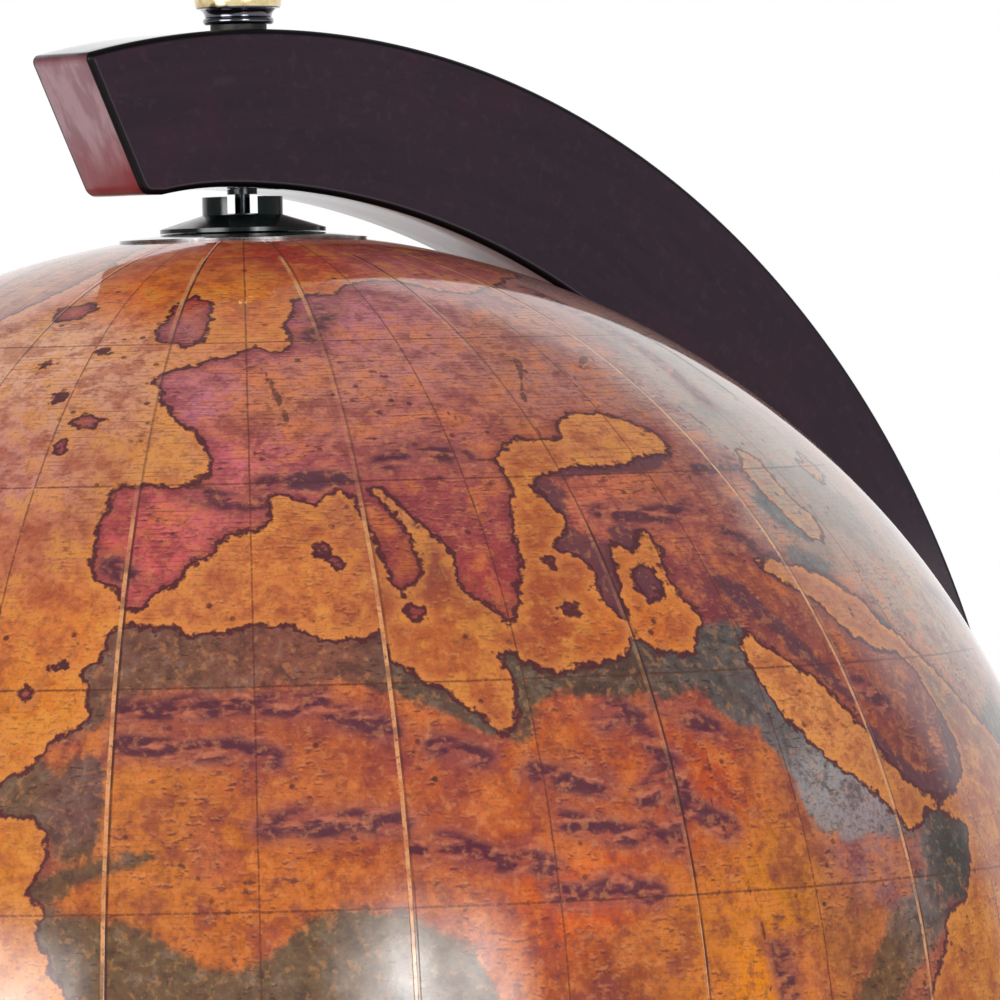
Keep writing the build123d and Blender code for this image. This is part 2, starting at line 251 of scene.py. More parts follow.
def paired(*runs):
    """Lines of places, from runs of numbers that are degrees east and degrees north by turns."""
    return [list(zip(run[::2], run[1::2])) for run in runs]


old_world, = paired(
    [-10.2, 35.2, -11, 36.4, -12.4, 37.2, -13.2, 38.4, -12.9, 39.8, -13.4, 41.3, -12.6, 42.6, -12.9, 43.9,
    -12.1, 44.9, -9.6, 45.3, -7.2, 44.9, -5.2, 45.2, -3.9, 46, -3.3, 47.4, -3.8, 48.6, -5.2, 49.6, -7, 50.6,
    -8.3, 51.8, -9.4, 53.2, -9.9, 54.6, -10.9, 55.7, -9.2, 56.6, -6.4, 56.9, -4.6, 57.9, -1.6, 58.3,
    1.2, 59.6, 3.6, 58.7, 5.4, 59.4, 5.2, 61.4, 6.2, 63.6, 8, 65.6, 11, 67, 15, 67.2, 19, 68.4, 25, 69.4,
    31, 69, 36, 67.2, 41, 66.4, 47, 67.6, 54, 68.2, 62, 69.6, 72, 70, 82, 72.4, 94, 74.4, 104, 76.2,
    118, 74.6, 134, 73.4, 150, 72, 166, 71, 178, 69.8, 186, 67.6, 182, 65.6, 174, 63.6, 167, 61.6,
    163, 59.2, 160.5, 55.6, 157.5, 52.6, 156, 56.4, 151, 59.4, 143, 58.6, 138, 55, 139.5, 51.4, 137, 47,
    133, 43.2, 129, 41.6, 127.5, 38.6, 128.5, 35.8, 125.5, 35.2, 124, 38.4, 120.5, 40, 118.5, 38.2,
    121, 36.6, 118.8, 34.4, 120.5, 31.2, 119.2, 27.4, 115.5, 23.4, 110.5, 21.2, 106.5, 21.4, 104, 18.6,
    106.5, 15, 107, 11.8, 103.5, 8.8, 102, 11.8, 99, 13.2, 98, 10, 99.6, 6.4, 101.5, 2.4, 99.4, 2.6,
    96.6, 7, 96, 12, 95, 16.2, 92, 17.8, 89.6, 21.4, 86, 21.2, 82.5, 17.6, 80, 14.4, 79, 9.6, 76.8, 8.4,
    75.2, 12.4, 73.6, 17.6, 72.4, 21.2, 69.4, 22.6, 66.4, 25.2, 64, 27.2, 61.6, 29.6, 59.6, 31.2,
    57.8, 33.2, 54.6, 35.4, 51.2, 36.6, 48.6, 37.2, 46.2, 37.3, 47, 36.4, 49.2, 35.1, 51.4, 33.2,
    53.2, 31.2, 55, 30.2, 57.2, 29.8, 59, 29, 60.2, 27.6, 60.9, 25.4, 61.3, 22.8, 60.2, 20.6, 58.6, 19.4,
    56.4, 19, 54.6, 19.5, 52.6, 20.4, 51, 22, 49.7, 24.2, 48.3, 25.8, 46.4, 27.8, 44.4, 29.5, 42.4, 30.6,
    40.8, 31.6, 40, 31.2, 40.1, 29.6, 40.8, 27.4, 41.9, 25, 43.6, 23.3, 45.6, 21.6, 47.6, 20.2, 49.6, 18.8,
    51.2, 17.4, 54, 18.4, 56.4, 17.7, 58.4, 17.1, 57.8, 14.6, 55.8, 12.2, 53.4, 11.6, 52, 9, 48.5, 4.5,
    44.5, 0.5, 41.5, -3.5, 40.5, -8, 42, -13, 40, -18, 36.5, -21.5, 37, -25.5, 34, -29, 30, -33, 24, -35.2,
    19, -35, 16, -31.5, 14, -26, 11.5, -19.5, 12.5, -13, 11, -7.5, 8.5, -2.5, 8.2, 2.4, 5.6, 4.6, 2.4, 4.2,
    -1.2, 5.4, -4.8, 4.6, -9, 5.6, -12, 8.2, -13.6, 10.8, -14.8, 12.8, -14, 14.4, -15.2, 15.6, -14.1, 17.2,
    -14.3, 19.4, -15.4, 20.4, -17.2, 20.3, -18.6, 21.4, -17.6, 22.9, -15.6, 24, -14.6, 25.5, -13, 26.4,
    -11.4, 26.9, -12.1, 28.6, -12.6, 30.4, -11.4, 31.6, -11.3, 33, -10.2, 33.5, -8.8, 33.3, -7.4, 33.2,
    -6.3, 33.8, -5, 33, -3.9, 33.2, -2.4, 32.9, -1.2, 33, -0.3, 33.6, 1.2, 33.5, 3, 33.2, 4.6, 32.7,
    6, 32.3, 7.4, 32.6, 8.4, 32.2, 9.5, 33, 10, 32.2, 10.4, 30.6, 11.8, 30, 12.8, 29, 14.3, 28.4,
    15.1, 27.2, 16.6, 26.2, 17.8, 25.4, 18.4, 25.8, 18.8, 27, 19.3, 28.4, 19, 29.6, 18.3, 31.1, 19.6, 30.7,
    20.6, 30.1, 22.4, 29.6, 25, 29.9, 27.5, 29.9, 28.8, 30.2, 29.4, 30.9, 29.7, 31.9, 30.4, 31.8,
    31.2, 30.9, 32.8, 30.4, 34.3, 30.2, 35.3, 30.6, 35.8, 31.6, 36.6, 32.3, 37, 33.1, 36, 34.4, 35.5, 35.9,
    35.5, 37, 36.1, 38.4, 35.9, 39.6, 35.2, 40, 34.4, 39, 33.4, 38, 32.4, 38.3, 31.6, 39.1, 31.1, 38.2,
    31, 37, 30.9, 35.6, 30.4, 34.4, 30.6, 33.2, 29.8, 32.8, 29.2, 33.6, 28.6, 34.2, 28.2, 35.6, 28.6, 37,
    27.9, 38, 26.4, 38.5, 25.8, 39.2, 26.8, 39.8, 27.8, 40.4, 28.2, 41.4, 27.4, 42.6, 26.6, 43.8,
    26.4, 44.6, 27.6, 45.2, 30.5, 45.5, 33, 45.7, 36, 45.6, 38.8, 45.9, 41.5, 46.6, 44.9, 46.9, 45.4, 47.6,
    44.6, 48.9, 42, 50.1, 38.6, 50.9, 35.4, 50.7, 33.6, 49.8, 32.4, 48.4, 29.6, 48.1, 27.4, 48.6, 25.8, 48,
    24.6, 47, 24.2, 45.6, 24, 44.2, 23.6, 42.6, 23.2, 41, 22.6, 39.6, 22.9, 38.4, 22.2, 37, 21.4, 35.8,
    21.6, 34.6, 20.8, 33.4, 20, 32.8, 19.2, 33.4, 18.5, 34.4, 17.4, 35, 16.6, 35.8, 16.4, 37.2, 16.2, 38.4,
    15.6, 39.4, 14.6, 41, 13.6, 42.3, 12.6, 43.4, 11.6, 44.3, 10.9, 44.5, 11.2, 43.6, 11.9, 42.5,
    12.7, 41.3, 13.4, 40, 13.9, 38.6, 13.9, 37.2, 13.2, 36.4, 12.3, 36.2, 12, 35.2, 11.3, 35.4, 11, 36.6,
    10.8, 38.4, 10.3, 40.2, 9.6, 42.2, 8.6, 43.9, 7.4, 43.9, 6.6, 43.2, 5.6, 42.8, 4.4, 43.2, 3, 43.6,
    2.2, 43.8, 2, 42.6, 1.6, 41.7, 0.6, 41, -1, 41, -2, 40.4, -3.2, 39.4, -3.6, 38.8, -4.8, 38.3,
    -5.8, 37.2, -6.6, 36.6, -7.6, 36, -8, 35.2, -9, 34.8],
)

new_world, = paired(
    [-169, 65.5, -160, 70.5, -145, 70.2, -130, 69.8, -115, 68.6, -100, 68.2, -91, 69.8, -84, 67, -90, 63,
    -97, 60, -93, 57, -85, 55.4, -83, 52, -80.5, 55, -79, 60, -76, 62.4, -70, 60, -65, 58.4, -60, 54,
    -58.5, 51.6, -64, 50, -70, 47.6, -64.5, 46.4, -66.5, 44.4, -72, 43, -73.5, 41, -78, 38, -79.5, 35,
    -84.5, 31.5, -83.5, 27.5, -84.8, 26, -86.5, 29.4, -91, 29.8, -97, 29.4, -100.5, 26.4, -101, 22,
    -98, 18.6, -93.5, 18.4, -90, 21.4, -90.8, 17, -87.2, 15.6, -86.6, 12, -84, 9.4, -80, 8.8, -76, 10.6,
    -72, 12, -66, 10.4, -62, 9.4, -56, 6, -53, 4, -51, 0, -46, -2, -40, -3.6, -37.6, -7, -39.4, -12.6,
    -42, -18, -45.4, -23, -51, -27, -54, -32, -58, -35, -60, -38.6, -65, -41, -66, -45, -69, -49,
    -71, -52.6, -74.6, -53, -77.6, -49, -76, -44, -75, -38, -74.4, -31, -73.6, -23, -75, -18, -79.6, -13.4,
    -83.4, -7, -84, -3, -82, 1, -80.6, 5, -82.4, 7, -86.6, 9, -90.4, 13, -95.6, 15.4, -100.6, 16.8,
    -106, 20, -109, 24, -114, 29, -116.4, 31, -113.4, 27, -112.6, 23.4, -116.2, 28, -119.6, 33, -123.6, 36,
    -126.4, 41, -126.6, 46, -129.4, 50, -135, 56, -142, 60, -152, 60, -160, 57, -167, 55, -161, 59,
    -167, 62],
)

islands = paired(
    # Northern isles off the Atlantic coast
    [-10.6, 66.4, -8.2, 67.2, -6.2, 66.2, -5.3, 64.2, -4.9, 62, -5.6, 60, -7.6, 59.2, -9.6, 59.9,
     -11.6, 60.4, -12.6, 62, -11.6, 64], [-20.2, 59.3, -18.9, 59.8, -17.6, 59.2, -18.9, 58.8],
    [-18.4, 51.2, -17, 51.8, -15.2, 51.4, -15.8, 50.7, -17.6, 50.6],
    [-19.6, 49, -18.6, 49.6, -17.8, 48.8, -18.6, 48], [-27, 57.8, -25.2, 58.4, -24.2, 57.8, -25.6, 57.3],
    [-22.8, 54, -20.6, 54.6, -19.8, 54, -21.4, 53.6], [-22.4, 34.8, -20.8, 35.6, -19.6, 35, -20.8, 34.2],
    [-17.6, 28.8, -16.8, 29.8, -16.2, 29, -16.8, 28], [-15.2, 30.6, -14.2, 31.4, -13.8, 30.4],
    # Middle sea
    [5, 39.4, 6, 39.9, 6.7, 38.9, 7.9, 38.4, 7.4, 37.4, 6.4, 37.9, 5.5, 38.2],
    [11.4, 34.6, 12.8, 34.9, 13.6, 34, 12.4, 33.6],
    [32, 36.8, 33.4, 37.6, 34.8, 37, 35, 35.6, 34.1, 34.4, 32.6, 34.2, 31.8, 35.4],
    [24.2, 34.2, 25.4, 34.6, 26, 33.8, 25, 33.4], [24.4, 37.6, 25.2, 38, 25.4, 37.2],
    # Greenland and Iceland
    [-46, 60, -52, 65, -57, 70, -64, 75, -62, 79, -50, 81, -38, 79, -33, 74, -36, 68, -40, 64],
    [-31, 65.4, -27, 66.4, -23.6, 65.6, -25.6, 63.8, -29.6, 63.6],
    # Eastern seas
    [45.5, -13, 49, -12, 50.8, -16, 48, -23, 45.4, -25.4, 43.4, -22, 44.4, -17],
    [82, 9.4, 84.2, 8.4, 83.6, 6.2, 81.8, 6.4],
    [94, 5.4, 98, 3.4, 102, -1.2, 104.4, -5.6, 101, -4.4, 97.4, 0.6],
    [103.5, -6.6, 108, -6.4, 112.4, -8, 107, -8.2],
    [107.6, 1.4, 111, 3.6, 115, 6.6, 117, 4.6, 115.2, 0, 114, -3.6, 109, -2.4],
    [118.5, 1, 122.4, 1.6, 120.6, -1, 121, -4.6, 118.4, -4.4, 117.6, -1.6],
    [119, 17.6, 122, 18.4, 122.4, 14, 126, 9.4, 123, 7.4, 121, 11, 119, 14],
    [129, 33, 133, 35.6, 138, 37, 140, 41.6, 143.4, 44.4, 141, 38, 139.4, 35, 134, 33.2, 130.4, 31],
    [129, -1, 134.6, -2.4, 141, -3.2, 147.6, -7.6, 149, -10.6, 142, -9, 136, -6.6, 131, -3.6],
    [111, -22, 113.4, -33, 118, -35, 124, -33, 130, -32, 136, -35.4, 142, -39, 148, -37.4, 151.4, -31,
     149, -24, 144, -17.4, 142, -11, 139, -17, 134, -12, 127, -14.4, 119, -19.6],
    [170, -41, 175, -37, 176, -40, 170, -46, 164, -46],
    # Western seas
    [-88, 22, -82, 23.2, -77, 20.4, -81, 21], [-77, 19.6, -72, 19.4, -71, 18, -76, 18],
    [-62, 48.4, -57, 51, -55.6, 47, -60, 46.8], [-88, 73, -76, 71, -66, 67, -66, 62.6, -74, 65, -84, 68.6],
    [-122, 72, -108, 73.4, -100, 71.6, -112, 70], [-161, 21.4, -158, 22, -157, 20.4],
    [-94, -0.2, -92.6, 0.8, -92, -0.8], [-63.4, -51.4, -60.6, -50.8, -60.4, -52.4],
    # The southern continent, as old maps guessed it
    [-180, -68, -165, -70, -150, -66, -132, -70.4, -118, -64, -104, -67, -90, -62.4, -76, -58, -66, -56.4,
     -56, -60, -44, -66, -30, -70, -14, -66.4, 0, -62, 14, -64, 30, -69, 48, -66, 62, -60.4, 76, -58,
     90, -60.6, 104, -65, 120, -61, 134, -56, 146, -58.4, 158, -64, 170, -66, 180, -68, 180, -90,
     -180, -90],
)

inland_seas = paired(
    [53.6, 44.6, 55.8, 47, 58.2, 46.2, 57.6, 43.6, 59, 40.6, 58, 38.4, 55.8, 38.6, 54.8, 41.6],
    [66, 45, 70, 46.4, 70.4, 44.2, 67.4, 43.4], [-94, 47, -88, 48.8, -86.6, 46.8, -90, 46],
    [-90, 42.4, -87.4, 45.4, -86.4, 42.6], [33.6, -2.2, 36.4, 0.6, 36.8, -2.6],
)

# Washes of colour that a painter laid along the coasts
olive_rings = paired(
    [-13.6, 34.6, 10.6, 34.6, 10.6, 31.4, 13.2, 30.6, 16.2, 28.6, 19, 26.2, 18.8, 24.7, 16.6, 25, 15, 26.1,
     13.4, 27.1, 11.8, 27.3, 10.2, 28.1, 8, 29.1, 6, 29.2, 4, 28.8, 2, 29.2, 0, 28.9, -3, 28.8, -5.5, 29.1,
     -8, 28.8, -10, 28.6, -10.9, 27, -12.8, 25.8, -15, 25.4, -15.6, 29, -14.4, 32],
    [17.4, 32.6, 17.2, 25.6, 18.6, 24.5, 20.2, 25.4, 20.4, 26.9, 22, 27.8, 24.6, 27.6, 27.2, 27.6, 29, 27.7,
     31, 27.4, 33, 28, 34.6, 28.2, 35.2, 26.6, 36.6, 25.2, 38.6, 24.9, 39.4, 23.4, 40.2, 21.6, 40.8, 19.6,
     41.4, 17.8, 43.6, 16.8, 46.6, 17.2, 49.4, 16.8, 51.8, 16.6, 53, 18.2, 50, 21.6, 46, 25, 43, 28,
     41.6, 30.6, 40.6, 32.4, 36.6, 32.4, 35.4, 33, 34.6, 31.4, 31.6, 33, 28.8, 33, 28.4, 31.4],
    [-19.4, 22.4, -17.4, 23.9, -15.2, 24.3, -13.8, 23, -12.6, 24.2, -10.7, 24, -10.4, 21, -10.5, 18.8,
     -12, 17.8, -13.6, 17.6, -14, 19.4, -15.2, 19.8, -17.4, 19.8, -19.2, 21],
    [-16, 15.6, -13.8, 16.5, -12, 17.3, -9.6, 17.6, -7, 18.2, -6.8, 17.5, -9, 16.8, -11.6, 16.1, -13.4, 15,
     -15.6, 14.8],
    [-14.6, 14.4, -11, 13.9, -8.6, 13.4, -6.4, 12.2, -3.9, 10.8, -0.7, 10.4, 1.4, 11.6, 3.4, 13.4, 6, 14.2,
     10, 13.6, 14, 11, 16, 7, 10, 3, 0, 3, -9, 4, -14.5, 8, -16, 12],
    [51.7, 17.7, 54, 18.3, 56.4, 17.6, 58.4, 17, 57.8, 14.6, 55.8, 12.4, 52.6, 12.5, 51.6, 15],
    [52.8, 13.6, 50.6, 14.2, 47, 11.8, 43.6, 8, 41, 5, 42.5, 3.2, 46, 6, 49.6, 8.6, 53.4, 11.4],
    [51.4, 42.6, 53.4, 43.6, 56.4, 42.4, 57.4, 40.4, 55.4, 38.6, 52.6, 39.8],
    [56.6, 31, 57.6, 32.8, 59.6, 32, 60.6, 30, 58.4, 29.4],
    [51, 37.6, 52.4, 38, 54.6, 37.2, 56.6, 36.6, 55.4, 35.6, 52.2, 36],
    # Far side
    [-60, -40, -50, -30, -36, -8, -46, 1, -52, -2, -42, -8, -47, -20, -58, -30, -66, -40],
    [-90, 28, -80, 24, -70, 42, -54, 52, -62, 56, -72, 47, -82, 37, -92, 32],
    [-133, 60, -123, 46, -113, 30, -103, 16, -98, 18, -108, 31, -119, 46, -128, 58],
    [68, 24, 74, 7, 79, 6, 78, 14, 77, 22, 74, 26],
    [108, 19, 122, 24, 124, 34, 120, 42, 114, 40, 117, 30, 112, 25],
    [160, 50, 190, 66, 176, 68, 160, 62, 150, 62, 140, 60, 146, 57],
    [28, -36, 40, -24, 44, -12, 37, -12, 33, -23, 24, -32],
    [108, -24, 111, -37, 136, -37, 126, -30, 116, -29], [-100, -70, -66, -53, -40, -62, -44, -70, -70, -63],
    [40, -72, 80, -55, 100, -60, 96, -66, 76, -63],
)

plum_rings = paired(
    [26, 45.2, 29.2, 45, 29.6, 43.4, 28.8, 41.8, 28.4, 40.6, 27.2, 41, 26.8, 42.6, 26, 44],
    [25.4, 39.2, 27.4, 40.6, 29.4, 40, 31.4, 39.2, 31.8, 38.2, 31.6, 36.6, 31.2, 34.6, 31, 32.8, 29.8, 32.2,
     28.6, 33.4, 27.8, 35.6, 28.2, 37.2, 26.6, 38],
    [31.4, 40.6, 33.6, 40.8, 35.2, 40.4, 34.6, 38.8, 33.4, 37.6, 32, 38.4],
    [31.4, 37.2, 34, 38.2, 35.6, 36.6, 35.2, 34.4, 33, 33.6, 31.4, 34.8],
    [60.9, 25.4, 61.3, 22.8, 60.2, 20.6, 58.6, 19.4, 56.4, 19, 54.6, 19.5, 52.6, 20.4, 51, 22, 49.4, 24.4,
     50.4, 24.9, 52, 22.8, 54, 21.4, 56.4, 20.8, 58.2, 21.2, 59.5, 22.8, 59.8, 25],
    [40, 36.8, 43, 35.4, 45.6, 32.6, 48, 29.4, 50.2, 26.6, 49.4, 25.8, 47, 27.8, 44.6, 30.6, 42.6, 32.6,
     40.4, 34.8], [28, 45.4, 33, 46.2, 39, 46.6, 45.2, 47.2, 44.6, 46, 40, 45, 34, 44.8, 29, 44.6],
    [3, 44.2, 3.2, 45.6, 6, 46.3, 9.4, 46, 9.6, 44.8, 6.8, 44.2],
)

mountains = paired(
    [-9.5, 27.8, -7.5, 27.4, -5.2, 27.8, -3, 27.5, -0.5, 27.9, 2.6, 27.6, 4.6, 28],
    [5.6, 26.8, 7.8, 26.4, 9.6, 25.8], [12.6, 24.7, 14.2, 24.3, 15.8, 23.7],
    [-9.4, 25.2, -7.2, 25, -5, 24.7, -3, 24.6, -1.4, 24.9], [-0.4, 24.5, 1.2, 24.1],
    [0.6, 19.4, 2.4, 19.8, 4.4, 19.3, 6.4, 19.9, 8.2, 19.5, 9.8, 19.6],
    [10.6, 17.6, 12.4, 18.1, 14.4, 17.6, 16, 16.8, 18, 16.9, 19.6, 16.2],
    [19.8, 14.6, 21.8, 14.3, 24.4, 15, 27, 14.1], [21.2, 19.2, 23.6, 18.6, 25.8, 18],
    [25.4, 25.8, 26.8, 26.8, 28.2, 25.9], [30.6, 27, 32.6, 25.8, 34.4, 25],
    [19.6, 22.6, 22, 21.8, 24.6, 21.4], [28.8, 24.4, 29.8, 22.8, 30.6, 20.8, 29.4, 18.9],
    [27.4, 20.4, 28.6, 21.6], [31.6, 19.4, 33.6, 18.2], [27.2, 18.2, 29, 17.4],
    [1.4, 45, 4, 45.2, 6.5, 45, 9, 45.4], [-4.6, 44.2, -1.8, 43.4, 0.6, 43.2],
    [12.6, 46.6, 16, 47.6, 20.8, 47], [8.6, 60.2, 10.4, 62.4, 13, 64.8], [5.4, 38.9, 7.2, 38],
    [-11.6, 38.4, -10.2, 37.6], [32, 41.6, 38, 41.3, 43, 41.8], [45, 39.4, 50, 36.9, 54, 35.9],
    [47, 45, 53, 45.6], [51, 27.4, 53.4, 26], [60, 67, 62, 59, 60, 52],
    [75, 34, 83, 30.6, 92, 29, 100, 30.4], [84, 49, 95, 47.4, 106, 50], [104, 36, 112, 30],
    [128, 66, 146, 62], [35, -6, 37, 4, 36, 10], [22, -33, 29, -29], [14, -4, 17, -14],
    [146, -36, 148, -27], [122, -24, 131, -23],
    [-80, 6, -81, -1, -79.6, -8, -74, -16, -71, -25, -72, -38, -74, -49],
    [-142, 63, -129, 58, -119, 48, -110, 39, -105, 29, -100, 20], [-84, 36, -75, 43], [-52, -8, -46, -17],
    [-80, 57, -70, 54], [-60, -70, -30, -76], [70, -66, 100, -70], [150, -70, 178, -74],
)

rivers = paired(
    [30.6, 31.2, 31.8, 28, 33.6, 24.6, 32.6, 20, 34, 15.4, 35.4, 9, 33, 3, 34.8, -0.6],
    [-14.8, 15.4, -11, 16.6, -7.2, 17.6, -3.6, 16.8, 0.4, 15.6, 4, 16.2], [6.8, 5, 5.6, 9, 2, 12.4],
    [10.8, -6.4, 16, -3, 21, 1], [43.6, 41.6, 46.4, 39, 50, 37.2],
    [42.4, 38.4, 46.6, 36.4, 51, 34, 53, 31.6], [5.6, 48.4, 10.2, 49.4, 15, 48.2, 19.6, 47, 24.4, 46.6],
    [4, 50.6, 3, 54.4, 0.6, 58.6], [-3.4, 47.6, 0, 48.2, 2.2, 46.4],
    [10, 57.6, 15, 56, 19.4, 53.8, 22, 50.6], [30.2, 48.6, 31.6, 53, 35, 57],
    [38.4, 51.2, 41.2, 55, 47, 57.4], [55.6, 47.2, 53, 52, 47.4, 56.6, 50, 61],
    [51.7, 17.9, 50.9, 15.4, 51.8, 12.2], [72.4, 22, 73, 28, 77, 33], [89, 21.8, 84, 26, 78, 30],
    [120, 31.6, 112, 30, 104, 32], [118.8, 38, 111, 36, 104, 39.6], [70, 69.6, 72, 60, 80, 52],
    [122, 74, 124, 62, 110, 54], [-51, -0.6, -60, -3.2, -70, -4, -76, -8], [-58, -34.6, -60, -27, -56, -18],
    [-91, 30, -92.6, 38, -97, 46], [-70, 48, -79, 44], [-133, 68.8, -126, 63, -116, 60],
    [37, -18.4, 30, -16, 24, -13], [19.4, -29, 26, -27], [139, -35, 143, -30],
)

# Painted colours by place: degrees east, degrees north, red, green, blue
land_paint = [
    (-9, 40, 228, 96, 96), (-5, 42.5, 218, 106, 104), (-1, 47, 226, 112, 122), (4, 47, 200, 100, 108),
    (-5, 53, 214, 122, 140), (3, 52.6, 218, 134, 86), (8, 50, 190, 110, 98), (10, 55, 212, 132, 112),
    (17, 42, 168, 74, 76), (19, 37, 182, 64, 68), (22, 50, 194, 106, 98), (20, 57, 212, 132, 122),
    (15, 63, 212, 122, 134), (9, 62.5, 214, 114, 130), (35, 55, 200, 126, 112), (46, 60, 188, 122, 112),
    (50, 46, 174, 102, 88), (28, 47.6, 186, 104, 66), (-8, 62, 184, 104, 112), (-8, 66, 206, 70, 70),
    (33, 43, 224, 118, 86), (40, 42, 194, 102, 76), (45, 35.6, 152, 66, 58), (39, 34, 120, 56, 64),
    (54, 41, 172, 152, 138), (57, 48, 176, 160, 148), (60, 54, 184, 166, 156), (53, 37.6, 176, 130, 108),
    (66, 44, 200, 184, 172), (70, 34, 190, 160, 140), (62, 38, 186, 156, 140), (50, 27, 166, 74, 48),
    (54.6, 24, 132, 58, 52), (57, 21, 112, 50, 52), (12, 39, 166, 70, 60), (6, 38.4, 150, 66, 60),
    (0, 26, 186, 90, 50), (10, 24, 190, 88, 44), (20, 22, 196, 92, 36), (5, 21, 188, 92, 50),
    (-8, 22, 208, 118, 44), (-6, 17, 206, 116, 40), (0, 16, 208, 106, 24), (31, 20.5, 204, 80, 22),
    (37, 14, 220, 130, 18), (46, 15, 160, 112, 116), (44, 11, 172, 98, 48), (29, 11, 216, 122, 34),
    (22.5, 14, 238, 98, 10), (34, 9.5, 246, 142, 2), (10, 8, 190, 104, 50), (24, 10, 152, 70, 28),
    (22, -10, 186, 98, 52), (26, -26, 178, 84, 58), (78, 18, 176, 84, 56), (80, 45, 192, 112, 60),
    (100, 65, 172, 90, 74), (112, 32, 162, 70, 62), (122, 50, 194, 118, 56), (103, 15, 184, 92, 60),
    (150, 65, 184, 106, 66), (90, 26, 196, 112, 52), (-100, 45, 192, 106, 56), (-120, 60, 168, 82, 68),
    (-74, 50, 172, 76, 62), (-95, 35, 200, 118, 50), (-100, 20, 164, 70, 60), (-44, 72, 198, 120, 66),
    (-60, -5, 184, 88, 52), (-65, -30, 194, 112, 50), (-76, -15, 162, 70, 60), (-50, -20, 176, 84, 66),
    (130, -25, 184, 92, 56), (145, -30, 164, 72, 62), (0, -80, 176, 84, 62), (170, -75, 194, 112, 56),
    (-90, -75, 166, 76, 64), (80, -70, 190, 106, 52), (-80, 12, 190, 106, 56), (115, 2, 170, 80, 62),
    (47, -18, 184, 86, 60), (136, 37, 168, 74, 64),
]

sea_paint = [
    (5, 38, 222, 126, 62), (13.5, 41, 176, 108, 84), (15, 37.6, 150, 72, 60), (15, 32.6, 202, 106, 48),
    (23.5, 34.8, 178, 82, 44), (30, 32.6, 222, 116, 38), (25, 40, 196, 100, 46), (-17, 28, 232, 134, 38),
    (-16, 33, 234, 132, 54), (-20, 40, 208, 118, 84), (-22, 46, 216, 142, 130), (-17, 52, 232, 166, 138),
    (-27, 60, 255, 192, 158), (-10, 48, 224, 146, 92), (-16, 18, 222, 130, 42), (-17, 69, 250, 124, 34),
    (0, 69, 250, 140, 42), (9, 71, 224, 100, 48), (-30, 72, 216, 124, 92), (12, 75, 206, 48, 46),
    (34, 72, 204, 100, 112), (-12, 76, 226, 96, 58), (60, 78, 180, 70, 60), (40, 48.4, 226, 140, 82),
    (44, 27, 240, 154, 84), (58, 10, 216, 124, 24), (61, 17, 188, 100, 44), (61.5, 26, 126, 96, 86),
    (70, 16, 198, 122, 70), (56, 33, 196, 120, 76), (56, 42.5, 170, 150, 134), (64, 36, 190, 160, 140),
    (180, 84, 150, 60, 50), (-110, 80, 160, 66, 46), (110, 82, 156, 62, 50), (-40, 30, 208, 126, 52),
    (-35, -15, 206, 120, 46), (-20, -45, 196, 112, 56), (75, -25, 208, 124, 48), (100, -50, 192, 106, 54),
    (150, 10, 204, 122, 50), (175, -35, 198, 112, 52), (-150, 30, 202, 118, 50), (-130, -10, 208, 126, 48),
    (-120, -45, 194, 108, 54), (-170, 55, 196, 116, 66), (-62, 28, 202, 118, 48), (0, -20, 210, 122, 44),
    (40, -50, 196, 110, 52), (155, 45, 196, 114, 58), (90, 5, 206, 122, 50),
]

olive_paint = [
    (-8, 31, 124, 84, 66), (3, 31, 142, 84, 66), (14, 28, 92, 76, 62), (20, 28, 88, 78, 60),
    (27, 29, 78, 64, 52), (36, 29, 84, 84, 80), (41, 25, 98, 98, 100), (43.5, 21.6, 168, 166, 166),
    (47, 18.6, 172, 156, 160), (50, 16, 128, 112, 110), (55, 15, 30, 54, 46), (45, 8, 118, 84, 50),
    (-17, 22, 116, 90, 66), (-12, 21, 116, 80, 78), (-11, 16.6, 106, 82, 56), (-9, 10, 104, 84, 56),
    (5, 10, 108, 90, 64), (54, 41, 92, 96, 100), (58, 31, 84, 86, 88), (-50, -15, 90, 84, 62),
    (-75, 40, 92, 80, 62), (-115, 40, 86, 82, 70), (72, 15, 80, 78, 64), (118, 30, 86, 78, 62),
    (165, 62, 88, 88, 80), (38, -20, 90, 80, 60),
]


def directions(lon, lat):
    """Unit vectors from the ball's centre to places on the map."""
    bearing = np.radians(np.asarray(lon, float) + facing)
    height = np.radians(np.asarray(lat, float))
    bearing, height = np.broadcast_arrays(bearing, height)
    return np.stack([np.cos(bearing) * np.cos(height), np.sin(bearing) * np.cos(height), np.sin(height)], -1)


def stepped(lines, closed, longest=1.5):
    """Straight pieces along drawn lines, up to so many degrees long, as pairs of unit vectors."""
    starts, ends = [], []
    for line in lines:
        line = line + [line[0]] if closed else line
        for (a, b), (c, d) in zip(line, line[1:]):
            steps = max(1, math.ceil(math.hypot(c - a, d - b) / longest))
            share = np.linspace(0, 1, steps + 1)
            points = directions(a + (c - a) * share, b + (d - b) * share)
            starts.append(points[:-1])
            ends.append(points[1:])
    return np.concatenate(starts), np.concatenate(ends)


